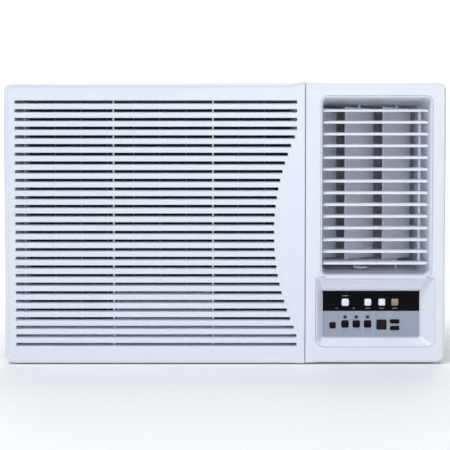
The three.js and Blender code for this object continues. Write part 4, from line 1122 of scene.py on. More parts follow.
@dataclass
class Blades:
    """The stack of level blades in the discharge mouth, each on its own pins, and their link."""

    thickness: float = 2.8
    nose: float = 11.0
    tail: float = 10.0
    tilt: float = 3.0
    droop: float = 2.1
    pin: float = 1.5
    crank_reach: float = 14.5
    crank_pin: float = 1.3

    def names(self) -> list[str]:
        """Return the blades' node names, top first."""
        return sorted(node for node in frame["nodes"] if node.startswith("blade_") and node[6:].isdigit())

    def profile(self, y: float, z: float) -> Array:
        """A blade's section, tilted nose down: a blunt nose that droops, and a tail that thins out.

        The droop grows with the square of the distance ahead of the pins.

        Args:
            y: Depth of the pins.
            z: Height of the pins.

        Returns:
            The section's outline.
        """
        share = np.linspace(-1.0, 1.0, 21)
        along = np.where(share < 0, share * self.nose, share * self.tail)
        half = self.thickness / 2 * (1 - 0.45 * np.maximum(share, 0.0) ** 2)
        half[[0, -1]] *= 0.45
        middle = -self.droop * np.minimum(share, 0.0) ** 2
        upper = np.stack([along, middle + half], axis=1)[::-1]
        lower = np.stack([along, middle - half], axis=1)
        points = np.vstack([upper, lower])
        angle = math.radians(self.tilt)
        turn = np.array([[math.cos(angle), -math.sin(angle)], [math.sin(angle), math.cos(angle)]])
        return points @ turn.T + (y, z)

    def blade(self, node: str) -> Skin:
        """Return one blade with its pins and crank arm.

        Args:
            node: The blade's node.

        Returns:
            The blade.
        """
        low, high = box_mm(node)
        _, y, z = hinge_mm(node)
        left, right = low[0] + 2.9, high[0] - 2.9
        body = skin_of(plate_stack(self.profile(y, z), left, right, 0.3, 0.3, Facing.SIDE))
        pins = rod(Facing.SIDE, (y, z), self.pin, low[0], high[0], 14)
        arm_x = high[0] - 9.45
        angle = math.radians(self.tilt)
        tip = (y + self.crank_reach * math.cos(angle), z + self.crank_reach * math.sin(angle))
        root_y = y + 4.0
        arm = np.vstack([arc(*tip, 2.6, -math.pi / 2, math.pi / 2, 8),
                         [[root_y, z + 1.2], [root_y, z - 1.2]]])
        lever = plate(arm, arm_x - 1.2, arm_x + 1.2, 0.3, facing=Facing.SIDE)
        crank = rod(Facing.SIDE, tip, self.crank_pin, arm_x, high[0] - 3.2, 12)
        return total([body, pins, lever, crank])

    def link(self) -> Skin:
        """Return the upright bar that joins the crank pins, with an eye at each."""
        low, high = box_mm("blade_link")
        outline = round_rect(low[1], high[1], low[2], high[2], 2.3, 6)
        outer = plate_stack(outline, low[0], high[0], 0.5, 0.5, Facing.SIDE)
        angle = math.radians(self.tilt)
        holes = []
        for node in self.names():
            _, y, z = hinge_mm(node)
            shape = circle(y + self.crank_reach * math.cos(angle), z + self.crank_reach * math.sin(angle),
                           self.crank_pin + 0.2, 16)
            holes.append([ring(shape, low[0], Facing.SIDE), ring(shape, high[0], Facing.SIDE)])
        return pierced([outer, *holes], Facing.SIDE)

    def build(self) -> None:
        """Make the blades and their link."""
        for node in self.names():
            make_piece(f"{node}_moulding", self.blade(node), WHITE_BLADE, node, [node], 30.0)
        make_piece("blade_link_bar", self.link(), WHITE_BLADE, Body.BLADE_LINK, ["blade_link"])


def hinge_mm(body: str) -> Array:
    """Return a point on the axis that a body moves about, in millimetres."""
    joint = next(joint for joint in frame["joints"] if joint["child"] == body)
    return np.array(joint["pos_m"]) / MM


@dataclass
class Vanes:
    """The upright vanes in the duct, the bar below that joins them, and the crank that swings them."""

    chord: float = 70.0
    thickness: float = 2.5
    turn: float = 45.0
    low: float = 154.0
    high: float = 388.0
    peg_reach: float = 12.0
    peg: float = 1.6
    bar_drop: float = 1.5
    bar_thickness: float = 3.0
    slip: float = 1.45
    room: float = 0.3

    @property
    def step(self) -> float:
        """How far each peg lies to the left of its vane's pins, and forward of them."""
        return self.peg_reach * math.sin(math.radians(self.turn))

    def section(self, x: float, y: float) -> Array:
        """A vane's section from above: thin with round ends, its front end swung to the left.

        Args:
            x: The pins' place across.
            y: The pins' depth.

        Returns:
            The section's outline.
        """
        half = self.thickness / 2
        reach = self.chord / 2 - half
        points = np.vstack([arc(reach, 0.0, half, -math.pi / 2, math.pi / 2, 7),
                            arc(-reach, 0.0, half, math.pi / 2, 3 * math.pi / 2, 7)])
        angle = math.radians(self.turn)
        matrix = np.array([[math.cos(angle), -math.sin(angle)], [math.sin(angle), math.cos(angle)]])
        return points @ matrix.T + (x, y)

    def vane(self, node: str) -> Skin:
        """Return one vane with its pins and peg.

        Args:
            node: The vane's node.

        Returns:
            The vane.
        """
        low, high = box_mm(node)
        x, y, _ = hinge_mm(node)
        outline = self.section(x, y)
        body = pierced([plate_stack(outline, self.low, self.high, 0.5, 0.5, Facing.TOP)], Facing.TOP)
        pins = [rod(Facing.TOP, (x, y), 2.0, low[2], self.low + 1, 16),
                rod(Facing.TOP, (x, y), 2.0, self.high - 1, high[2], 16)]
        peg = rod(Facing.TOP, (x - self.step, y - self.step), self.peg,
                  self.low - self.bar_drop - self.bar_thickness - 0.7, self.low + 1, 14)
        return total([body, peg, *pins])

    def names(self) -> list[str]:
        """Return the vanes' node names from the left."""
        return sorted(node for node in frame["nodes"] if node.startswith("vane_") and node[5:].isdigit())

    def link(self) -> Skin:
        """Return the bar on the pegs, with a tab forward that the crank's pin drives."""
        low, high = box_mm("vane_link")
        pegs = [hinge_mm(node)[:2] - self.step for node in self.names()]
        crank = hinge_mm("swing_crank")[:2]
        y = pegs[0][1]
        tab = crank[0] - self.step
        half = 4.0
        tab_half = 8.0
        outline = np.array([
            [tab - tab_half, y - half], [tab - tab_half, low[1]], [tab + tab_half, low[1]],
            [tab + tab_half, y - half], [high[0], y - half], [high[0], y + half],
            [low[0], y + half], [low[0], y - half]])
        body = plate_stack(outline, high[2], low[2], 0.4, 0.3, Facing.TOP)
        holes = [circle(*peg, self.peg + self.room, 16) for peg in pegs]
        slot_half = self.peg + self.slip + 0.5
        front = crank[1] - self.step + (self.peg_reach - self.step) - self.peg - 1.0
        holes.append(round_rect(tab - slot_half, tab + slot_half, front, crank[1] + self.peg + 1.0, 1.4, 4))
        stacks = [[ring(hole, high[2], Facing.TOP), ring(hole, low[2], Facing.TOP)] for hole in holes]
        return pierced([body, *stacks], Facing.TOP)

    def crank(self) -> Skin:
        """Return the crank disc with its rim, its pin and its shaft."""
        low, high = box_mm("swing_crank")
        x, y, _ = hinge_mm("swing_crank")
        radius = high[0] - x
        disc_high = self.low - 11.0
        disc_low = disc_high - 3.0
        profile = np.array([[0.0, disc_low], [radius - 0.4, disc_low], [radius, disc_low + 0.4],
                            [radius, disc_high - 0.5], [radius - 0.5, disc_high], [radius - 1.8, disc_high],
                            [radius - 2.2, disc_high - 0.8], [4.6, disc_high - 0.8], [4.2, disc_high],
                            [0.0, disc_high]])
        disc = lathe(profile, (x, y, 0.0), 2, 40)
        pin = rod(Facing.TOP, (x - self.step, y), self.peg, disc_high - 1.0, high[2], 16)
        shaft = rod(Facing.TOP, (x, y), 3.0, low[2], disc_low + 1.0, 20)
        return total([disc, pin, shaft])

    def motor(self) -> Skin:
        """Return the small geared motor under the duct: a can, its lid, ears with holes, and a boss."""
        low, high = box_mm("swing_motor")
        x, y, _ = hinge_mm("swing_crank")
        can = 14.0
        bore = 3.3
        profile = np.array([[bore, high[2]], [can, high[2]], [can, high[2] - 1.0], [can - 0.6, high[2] - 1.4],
                            [can - 0.6, low[2] + 6], [can, low[2] + 5.6], [can, low[2] + 1.2],
                            [can - 1.2, low[2]], [5.0, low[2]], [4.6, low[2] + 0.8], [0.0, low[2] + 0.8],
                            [0.0, high[2] - 6.0], [bore, high[2] - 6.0]])
        body = lathe(profile, (x, y, 0.0), 2, 40)
        ears = []
        for side in (-1.0, 1.0):
            near, far = sorted((x + side * (can - 1.0), x + side * (high[0] - x)))
            outline = round_rect(near, far, y - 4, y + 4, 1.5, 4)
            hole = circle(x + side * 17.3, y, 1.5, 12)
            stack = [ring(hole, high[2], Facing.TOP), ring(hole, high[2] - 1.5, Facing.TOP)]
            ears.append(pierced([plate_stack(outline, high[2], high[2] - 1.5, 0.2, 0.2, Facing.TOP), stack],
                                Facing.TOP))
        return total([body, *ears])

    def build(self) -> None:
        """Make the vanes and their drive."""
        for node in self.names():
            make_piece(f"{node}_moulding", self.vane(node), GREY_VANE, node, [node])
        make_piece("vane_bar", self.link(), GREY_VANE, Body.VANE_LINK, ["vane_link"])
        make_piece("crank_disc", self.crank(), WHITE_BLADE, Body.CRANK, ["swing_crank"])
        make_piece("swing_motor_can", self.motor(), MOTOR_STEEL, Body.ROOT,
                   ["swing_motor"])


# ---------------------------------------------------------------- control panel

@dataclass(frozen=True)
class Item:
    """A small thing on the control panel, placed from the panel's lower left corner."""

    node: str
    x: float
    z: float
    wide: float
    tall: float

    def outline(self, corner: Array, grow: float = 0.0, radius: float = 2.0) -> Array:
        """Return its outline, grown by an amount."""
        x, z = corner[0] + self.x, corner[2] + self.z
        half, rise = self.wide / 2 + grow, self.tall / 2 + grow
        return round_rect(x - half, x + half, z - rise, z + rise, min(radius, half, rise), 4)


@dataclass
class ControlPanel:
    """The panel in the recess: a black upper strip, a silver lower strip, keys, windows and lamps."""

    low_corner: float = 2.2
    high_corner: float = 1.6
    split: float = 38.8
    top_row: float = 52.0
    low_row: float = 19.0
    temp_column: float = 108.6
    lamp_xs: tuple[float, float, float] = (33.7, 50.7, 67.7)
    lamp_z: float = 29.6
    lamp_radius: float = 2.3
    neck: float = 3.4
    travel: float = 5.0
    keys: list[Item] = field(default_factory=list)

    def __post_init__(self) -> None:
        """Place the keys in their rows."""
        top, low, temp = self.top_row, self.low_row, self.temp_column
        self.corner, self.far = box_mm("control_overlay")
        self.keys = [
            Item("fan_speed_button", 67.9, top, 11.0, 11.0), Item("mode_button", 88.9, top, 11.0, 11.0),
            Item("power_button", temp, top, 11.0, 11.0),
            *(Item(f"soft_key_{i + 1}", x, low, 11.0, 11.0) for i, x in enumerate(self.lamp_xs)),
            Item("temp_up_key", temp, 22.8, 14.3, 6.3), Item("temp_down_key", temp, 12.8, 14.3, 6.3)]
        self.slider = Item("vent_slider", self.lamp_xs[0] + 0.1, top, 11.0, 11.0)
        self.windows = [Item("display_window", 88.8, 18.0, 15.4, 15.4),
                        Item("receiver_window", 15.0, 17.0, 9.8, 9.8)]

    def holes(self) -> list[tuple[float, Array]]:
        """Return each hole's height on the panel and its outline."""
        found = [(item.z, item.outline(self.corner)) for item in (*self.keys, *self.windows)]
        slot = Item("slot", self.slider.x, self.slider.z, self.neck + 2 * self.travel, self.neck)
        found.append((slot.z, slot.outline(self.corner, 0.6, 1.0)))
        found += [(self.lamp_z, circle(self.corner[0] + x, self.corner[2] + self.lamp_z,
                                       self.lamp_radius + 0.3, 20)) for x in self.lamp_xs]
        return found

    def strip(self, outline: Array, upper: bool) -> Skin:
        """Return one strip of the panel with the holes that fall in it.

        Args:
            outline: The strip's outline.
            upper: True takes the holes above the split.

        Returns:
            The strip.
        """
        front, back = self.corner[1], self.far[1]
        stacks = [plate_stack(outline, front, back, 0.35, 0.1)]
        for height, hole in self.holes():
            if (height > self.split) == upper:
                stacks.append(hole_stack(hole, front, back, 0.25))
        return pierced(stacks)

    def strips(self) -> None:
        """Make the black and silver strips."""
        left, _, bottom = self.corner
        right, _, top = self.far
        divide = bottom + self.split
        low, high = self.low_corner, self.high_corner
        upper = round_rect(left, right, divide + 0.15, top, [0.3, 0.3, high, high], 6)
        lower = round_rect(left, right, bottom, divide - 0.15, [low, low, 0.3, 0.3], 6)
        make_piece("overlay_black_strip", self.strip(upper, True), BLACK_GLOSS, Body.ROOT,
                   ["control_overlay"])
        make_piece("overlay_silver_strip", self.strip(lower, False), SILVER_FILM, Body.ROOT,
                   ["control_overlay"])

    def key_skin(self, item: Item) -> Skin:
        """Return a key: a soft cushion on a skirt, with its flange and stem behind.

        Args:
            item: The key's place and size.

        Returns:
            The key.
        """
        low, high = box_mm(item.node)
        back = self.far[1]
        wide = item.wide > item.tall
        cap = cushion_cap(item.outline(self.corner, -0.45, 1.8 if wide else 2.2), low[1], back + 0.6,
                          1.1, 0.35)
        flange = plate(item.outline(self.corner, 0.9), back + 0.5, back + 2.0, 0.2)
        centre = (self.corner[0] + item.x, self.corner[2] + item.z)
        return total([cap, flange, rod(Facing.FRONT, centre, 2.0, back + 1.0, high[1], 14)])

    def build(self) -> None:
        """Make the panel's pieces."""
        self.strips()
        for item in self.keys:
            soft = item.z < self.split
            finish = SOFT_KEY if soft else AMBER_KEY if item.node == "power_button" else WHITE_BLADE
            make_piece(f"{item.node}_cap", self.key_skin(item), finish, item.node, [item.node])
        self.build_slider()
        for item in self.windows:
            low, high = box_mm(item.node)
            skin = cushion_cap(item.outline(self.corner, -0.3), low[1], high[1], 0.5, 0.12)
            make_piece(f"{item.node}_pane", skin, SMOKED_WINDOW, Body.ROOT, [item.node])
        self.build_lamps()
        self.build_marks()

    def build_slider(self) -> None:
        """Make the vent's slider: a ribbed thumb piece on a neck, with a foot behind the panel."""
        low, high = box_mm("vent_slider")
        item = self.slider
        back = self.corner[1] - 0.3
        cap = cushion_cap(item.outline(self.corner, -0.1, 2.2), low[1] + 0.5, back, 1.0, 0.2)
        grips = [plate(Item("grip", item.x + step, item.z, 1.0, 7.0).outline(self.corner, 0.0, 0.5),
                       low[1], low[1] + 1.2, 0.4) for step in (-2.4, 0.0, 2.4)]
        neck = plate(Item("neck", item.x, item.z, self.neck, self.neck).outline(self.corner, 0.0, 0.5),
                     back - 0.5, self.far[1] + 1.0, 0.1)
        foot = plate(Item("foot", item.x, item.z, 9.0, 8.0).outline(self.corner, 0.0, 1.0),
                     high[1] - 2.0, high[1], 0.2)
        make_piece("vent_slider_thumb", total([cap, neck, foot, *grips]), WHITE_BLADE, Body.SLIDER,
                   ["vent_slider"])

    def build_lamps(self) -> None:
        """Make the three round lamps and the light bar behind them."""
        low, high = box_mm("indicator_lights")
        z = self.corner[2] + self.lamp_z
        xs = [self.corner[0] + x for x in self.lamp_xs]
        lenses = [cushion_cap(circle(x, z, self.lamp_radius, 24), low[1], high[1] - 1.0, 0.5, 0.4)
                  for x in xs]
        base = plate(round_rect(low[0], high[0], z - 1.8, z + 1.8, 0.6, 3), high[1] - 2.0, high[1], 0.2)
        make_piece("indicator_lenses", total([*lenses, base]), LAMP_LENS, Body.ROOT,
                   ["indicator_lights"])

    def dash(self, x: float, z: float, wide: float, tall: float = 0.7) -> Skin:
        """Return one raised dash of print, placed from the panel's corner."""
        outline = Item("dash", x, z, wide, tall).outline(self.corner, 0.0, 0.3)
        return plate(outline, self.corner[1] - 0.06, self.corner[1] + 0.2, 0.05)

    def key_ring(self) -> Skin:
        """Return the ring printed on the power key, as a thin raised band."""
        item = next(item for item in self.keys if item.node == "power_button")
        x, z = self.corner[0] + item.x, self.corner[2] + item.z
        front = box_mm(item.node)[0][1] - 0.30
        return pierced([[ring(circle(x, z, 2.9, 28), front), ring(circle(x, z, 2.9, 28), front + 0.4)],
                        [ring(circle(x, z, 2.2, 28), front), ring(circle(x, z, 2.2, 28), front + 0.4)]])

    def build_marks(self) -> None:
        """Make the print: plain dashes under the keys and a frame line, with no words."""
        below = self.top_row - 9.2
        marks = [self.dash(item.x, below, 7.5) for item in self.keys if item.z > self.split]
        marks += [self.dash(self.slider.x + side * 12.8, below, 3.0) for side in (-1.0, 1.0)]
        marks += [self.dash(self.slider.x, self.top_row + 9.6, 9.0)]
        marks += [self.dash(x, self.low_row - 8.4, 9.0) for x in self.lamp_xs]
        marks += [self.dash(self.temp_column, self.low_row - 12.6, 6.0),
                  self.dash(self.temp_column, 17.8, 9.0, 0.4)]
        make_piece("power_key_ring", self.key_ring(), DARK_PRINT, "power_button")
        make_piece("panel_marks", total(marks), WHITE_PRINT, Body.ROOT)


# ---------------------------------------------------------------- air filter

@dataclass
class AirFilter:
    """The filter behind the grille: a moulded frame with a lattice, and a net across it."""

    frame_width: float = 7.0
    rib: float = 1.7
    column_pitch: float = 40.9
    row_pitch: float = 57.5
    net_in: float = 3.2

    def lattice(self) -> Skin:
        """Return the moulded frame with even windows between its ribs."""
        low, high = box_mm("air_filter")
        left, right = low[0] + self.frame_width, high[0] - self.frame_width
        bottom, top = low[2] + self.frame_width, high[2] - self.frame_width
        columns = max(1, round((right - left) / self.column_pitch))
        rows = max(1, round((top - bottom) / self.row_pitch))
        xs = np.linspace(left, right, columns + 1)
        zs = np.linspace(bottom, top, rows + 1)
        half = self.rib / 2
        border = round_rect(low[0], high[0], low[2], high[2], 4.0, 4)
        stacks = [plate_stack(border, low[1], high[1], 0.8, 0.4)]
        for x0, x1 in zip(xs[:-1], xs[1:]):
            for z0, z1 in zip(zs[:-1], zs[1:]):
                window = round_rect(x0 + half, x1 - half, z0 + half, z1 - half, 2.0, 3)
                stacks.append(hole_stack(window, low[1], high[1], 0.4))
        return pierced(stacks)

    def build(self) -> None:
        """Make the frame, the net and the small cartridge in front."""
        low, high = box_mm("air_filter")
        make_piece("filter_lattice", self.lattice(), FILTER_RIB, Body.ROOT, ["air_filter"])
        inset = self.frame_width - 1.0
        net = plate(round_rect(low[0] + inset, high[0] - inset, low[2] + inset, high[2] - inset, 2.0, 3),
                    low[1] + self.net_in, low[1] + self.net_in + 0.5, 0.1)
        make_piece("filter_net", net, FILTER_NET, Body.ROOT)
        self.build_cartridge()

    def build_cartridge(self) -> None:
        """Make the cartridge: a tray with a row of slats."""
        low, high = box_mm("deodorising_cartridge")
        rim = 4.0
        xs = np.arange(low[0] + rim + 3.0, high[0] - rim - 3.0, 5.2)
        border = round_rect(low[0], high[0], low[2], high[2], 3.0, 4)
        stacks = [plate_stack(border, low[1], high[1], 0.9, 0.4)]
        for x in xs:
            window = round_rect(x - 1.6, x + 1.6, low[2] + rim, high[2] - rim, 1.2, 3)
            stacks.append(hole_stack(window, low[1], high[1] - 1.0, 0.4))
        body = pierced(stacks)
        floor = plate(round_rect(low[0] + 1, high[0] - 1, low[2] + 1, high[2] - 1, 2.0, 3),
                      high[1] - 1.0, high[1] - 0.2, 0.1)
        make_piece("cartridge_tray", body + floor, CARTRIDGE_PLASTIC, Body.ROOT,
                   ["deodorising_cartridge"])


# ---------------------------------------------------------------- coils

@dataclass
class Coil:
    """A finned coil: thin fins on rows of tubes, end plates, and return bends on one end."""

    node: str
    side: float
    bend_low: float
    bends: int
    fin_pitch: float = 3.2
    fin: float = 0.45
    plate: float = 2.5
    reach: float = 12.0
    bend: float = 8.0
    tube: float = 4.5
    row_shift: float = 13.0

    def box(self) -> tuple[Array, Array]:
        """Return the coil's box without its return bends."""
        low, high = box_mm(self.node)
        overhang = self.reach + self.tube
        if self.side > 0:
            high = high - (overhang, 0.0, 0.0)
        else:
            low = low + (overhang, 0.0, 0.0)
        return low, high

    def fins(self) -> Skin:
        """Return the fins, one thin box each, and a core that keeps light from passing straight through."""
        low, high = self.box()
        xs = np.arange(low[0] + self.plate + 1.0, high[0] - self.plate - 1.0, self.fin_pitch)
        one = ring(np.array([[low[1] + 2, low[2] + 2], [high[1] - 2, low[2] + 2],
                             [high[1] - 2, high[2] - 2], [low[1] + 2, high[2] - 2]]), 0.0, Facing.SIDE)
        sheets = [skin_of([one, one + (self.fin, 0.0, 0.0)]).moved(float(x)) for x in xs]
        core = round_rect(low[0] + 1, high[0] - 1, low[2] + 4, high[2] - 4, 1.0, 2)
        return total([*sheets, plate(core, low[1] + 9.0, high[1] - 9.0, 0.2)])

    def plates(self) -> Skin:
        """Return the two end plates, with a folded flange on each."""
        low, high = self.box()
        parts = []
        for x, way in ((low[0], 1.0), (high[0] - self.plate, -1.0)):
            outline = round_rect(low[1], high[1], low[2], high[2], 1.0, 3)
            parts.append(plate(outline, x, x + self.plate, 0.3, facing=Facing.SIDE))
            near, far = sorted((x + self.plate / 2, x + self.plate / 2 + way * 9.0))
            outline = round_rect(near, far, low[2] + 3, high[2] - 3, 0.6, 3)
            parts.append(plate(outline, low[1] + 0.2, low[1] + 1.4, 0.2))
        return total(parts)

    def hairpin(self, x: float, y: float, low: float, high: float) -> Skin:
        """Return one bend: out of the end plate at one height and back in at another."""
        inside, out = x - self.side * 3.0, x + self.side * self.reach
        corners = np.array([[inside, y, low], [out, y, low], [out, y, high], [inside, y, high]])
        return tube(smooth_path(corners, self.bend, 8), self.tube, 14)

    def pipes(self) -> Skin:
        """Return the return bends in two rows, and the sleeves round them."""
        low, high = self.box()
        step = (high[2] - self.bend_low - 10.0) / self.bends
        x = low[0] if self.side < 0 else high[0]
        middle = (low[1] + high[1]) / 2
        parts = []
        for index in range(self.bends):
            start = self.bend_low + index * step
            parts.append(self.hairpin(x, middle, start, start + step / 2))
            shift = self.row_shift if index % 2 else -self.row_shift
            parts.append(self.hairpin(x, middle + shift, start + step * 0.3, start + step * 0.75))
            for height in (start, start + step / 2):
                near, far = sorted((x, x + self.side * 2.0))
                parts.append(rod(Facing.SIDE, (middle, height), self.tube + 1.0, near, far, 18))
        return total(parts)

    def build(self) -> None:
        """Make the coil's pieces."""
        make_piece(f"{self.node}_fins", self.fins(), FIN_ALUMINIUM, Body.ROOT, [self.node])
        make_piece(f"{self.node}_end_plates", self.plates(), ZINC_SHEET, Body.ROOT,
                   [self.node])
        make_piece(f"{self.node}_bends", self.pipes(), COPPER, Body.ROOT, [self.node])


# ---------------------------------------------------------------- fans and motor

@dataclass
class AirMover:
    """The blower wheel and the rear fan on one shaft, and the motor between them."""

    wheel_blades: int = 40
    fan_blades: int = 5
    hub: float = 32.0
    shaft: float = 6.0
    bore: float = 6.3
    pitch: float = 28.0
    blade_thickness: float = 2.4
    slinger: float = 4.0

    def __post_init__(self) -> None:
        """Take the axis from the rotor's joint."""
        self.x, _, self.z = hinge_mm(Body.ROTOR.value)

    def around(self, radius: float | Array, angle: Array) -> tuple[Array, Array]:
        """Return X and Z of points at a radius and angle about the shaft."""
        return self.x + radius * np.cos(angle), self.z + radius * np.sin(angle)

    def turned(self, profile: Array, sides: int = 48) -> Skin:
        """Return a profile of (radius, Y) turned about the shaft, closed on itself.

        Args:
            profile: Points of (radius, Y).
            sides: Flats round the shaft.

        Returns:
            The closed skin.
        """
        angles = np.linspace(0.0, 2.0 * math.pi, sides, endpoint=False)
        rings = []
        for radius, y in profile:
            x, z = self.around(radius, angles)
            rings.append(np.stack([x, np.full(sides, y), z], 1))
        return skin_of(rings, wrap=True)

    def tube_ring(self, inner: float, outer: float, start: float, end: float, edge: float = 0.5,
                  sides: int = 48) -> Skin:
        """Return a ring about the shaft with eased edges."""
        return self.turned(np.array([
            [inner, start + edge], [inner + edge, start], [outer - edge, start], [outer, start + edge],
            [outer, end - edge], [outer - edge, end], [inner + edge, end], [inner, end - edge]]), sides)

    def wheel(self) -> Skin:
        """Return the blower wheel: curved blades between a front ring and a back plate with a hub.

        Each blade's section is an arc that leans forward, of even thickness.
        """
        low, high = box_mm("blower_wheel")
        outer = (high[0] - low[0]) / 2
        front, back = low[1], high[1]
        inner = outer - 12.0
        parts = [self.tube_ring(inner, outer, front, front + 4.0),
                 self.tube_ring(self.bore, outer, back - 2.0, back),
                 self.tube_ring(self.bore, 16.0, back - 22.0, back - 1.0, 1.0)]
        share = np.linspace(0.0, 1.0, 5)
        radii = inner + 0.6 + (outer - inner - 1.2) * share
        lean = 0.11 * share ** 1.6
        for index in range(self.wheel_blades):
            angle = 2.0 * math.pi * index / self.wheel_blades + lean
            thick = 0.75 / radii
            near = np.stack(self.around(radii, angle - thick), 1)
            far = np.stack(self.around(radii, angle + thick), 1)[::-1]
            outline = np.vstack([near, far])
            parts.append(skin_of([ring(outline, front + 3.0), ring(outline, back - 1.5)]))
        return total(parts)

    def blade(self, turn: float, low: Array, high: Array) -> Skin:
        """Return one fan blade: a twisted, swept sheet from hub to tip.

        At share s of the span the half width grows and then rounds off, the pitch falls from root
        to tip, and the middle line sweeps forward.

        Args:
            turn: The blade's angle about the shaft.
            low: The fan's lowest corner.
            high: The fan's highest corner.

        Returns:
            The blade.
        """
        span = np.linspace(0.0, 1.0, 15)
        tip = (high[0] - low[0]) / 2 - self.slinger + 0.6
        radius = self.hub - 3.0 + (tip - self.hub + 3.0) * span
        half = 17.0 + 24.0 * np.sin(np.minimum(span * 1.15, 1.0) * math.pi / 2) - 15.0 * span ** 6
        pitch = np.radians(self.pitch + 8.0 * (1 - span))
        sweep = 0.16 * span ** 2
        middle = (low[1] + high[1]) / 2
        across = np.linspace(-1.0, 1.0, 9)
        rings = []
        for r, h, p, s in zip(radius, half, pitch, sweep):
            along = across * h
            camber = 3.0 * (1 - across ** 2)
            thick = self.blade_thickness / 2 * (1 - 0.8 * across ** 4)
            section = []
            for sign, order in ((1.0, slice(None)), (-1.0, slice(None, None, -1))):
                height = (camber + sign * thick)[order]
                chord = along[order]
                y = middle + chord * math.sin(p) + height * math.cos(p)
                angle = turn + s + (chord * math.cos(p) - height * math.sin(p)) / r
                x, z = self.around(r, angle)
                section.append(np.stack([x, y, z], 1))
            rings.append(np.vstack(section))
        return skin_of(rings)

    def fan(self) -> Skin:
        """Return the rear fan: hub, blades and the ring that throws water on the coil."""
        low, high = box_mm("condenser_fan")
        outer = (high[0] - low[0]) / 2
        middle = (low[1] + high[1]) / 2
        front, back = middle - 18.0, middle + 20.0
        hub = self.turned(np.array([
            [self.bore, front], [self.hub - 4, front], [self.hub - 1, front + 1.2], [self.hub, front + 4.5],
            [self.hub, back - 1.0], [self.hub - 1.0, back], [self.hub - 4.0, back],
            [self.hub - 4.6, back - 7.0], [13.0, back - 7.0], [12.0, back], [self.bore, back]]))
        rim = self.tube_ring(outer - self.slinger, outer, middle - 6.0, middle + 6.0, 0.8, 72)
        turns = [2.0 * math.pi * index / self.fan_blades for index in range(self.fan_blades)]
        blades = [self.blade(turn, low, high) for turn in turns]
        return total([hub, rim, *blades])

    def motor(self) -> Skin:
        """Return the motor: a rolled can with two pressed end bells, bosses, bands and bolts."""
        low, high = box_mm("fan_motor")
        radius = (high[0] - low[0]) / 2
        boss, out = 8.0, 20.0
        front, back = low[1] + boss, high[1] - boss
        body = self.turned(np.array([
            [self.bore + 1, low[1]], [out - 1, low[1]], [out, low[1] + 1], [out, front - 0.5],
            [out + 6, front], [radius - 12, front + 0.4], [radius - 3, front + 4],
            [radius - 0.6, front + 11], [radius - 0.6, front + 28], [radius, front + 28.6],
            [radius, back - 28.6], [radius - 0.6, back - 28], [radius - 0.6, back - 11],
            [radius - 3, back - 4], [radius - 12, back - 0.4], [out + 6, back], [out, back + 0.5],
            [out, high[1] - 1], [out - 1, high[1]], [self.bore + 1, high[1]]]), 56)
        bolts = []
        for quarter in range(4):
            angle = math.radians(45.0 + 90.0 * quarter)
            place = (self.x + (radius - 11) * math.cos(angle), self.z + (radius - 11) * math.sin(angle))
            bolts += [skin_of(plate_stack(circle(*place, 4.2, 6), y, y + way * 4.0, 0.4, 0.2, Facing.FRONT))
                      for y, way in ((front - 2.0, 1.0), (back + 2.0, -1.0))]
        return total([body, *bolts])

    def build(self) -> None:
        """Make the rotor and the motor."""
        low, high = box_mm("fan_shaft")
        make_piece("blower_wheel_moulding", self.wheel(), BLACK_ENAMEL, Body.ROTOR,
                   ["blower_wheel"])
        make_piece("rear_fan_moulding", self.fan(), FAN_PLASTIC, Body.ROTOR,
                   ["condenser_fan"])
        shaft = rod(Facing.FRONT, (self.x, self.z), self.shaft, low[1], high[1], 28, 0.8)
        make_piece("rotor_shaft", shaft, MOTOR_STEEL, Body.ROTOR, ["fan_shaft"])
        make_piece("motor_can", self.motor(), BLACK_ENAMEL, Body.ROOT, ["fan_motor"])


# ---------------------------------------------------------------- refrigerant parts

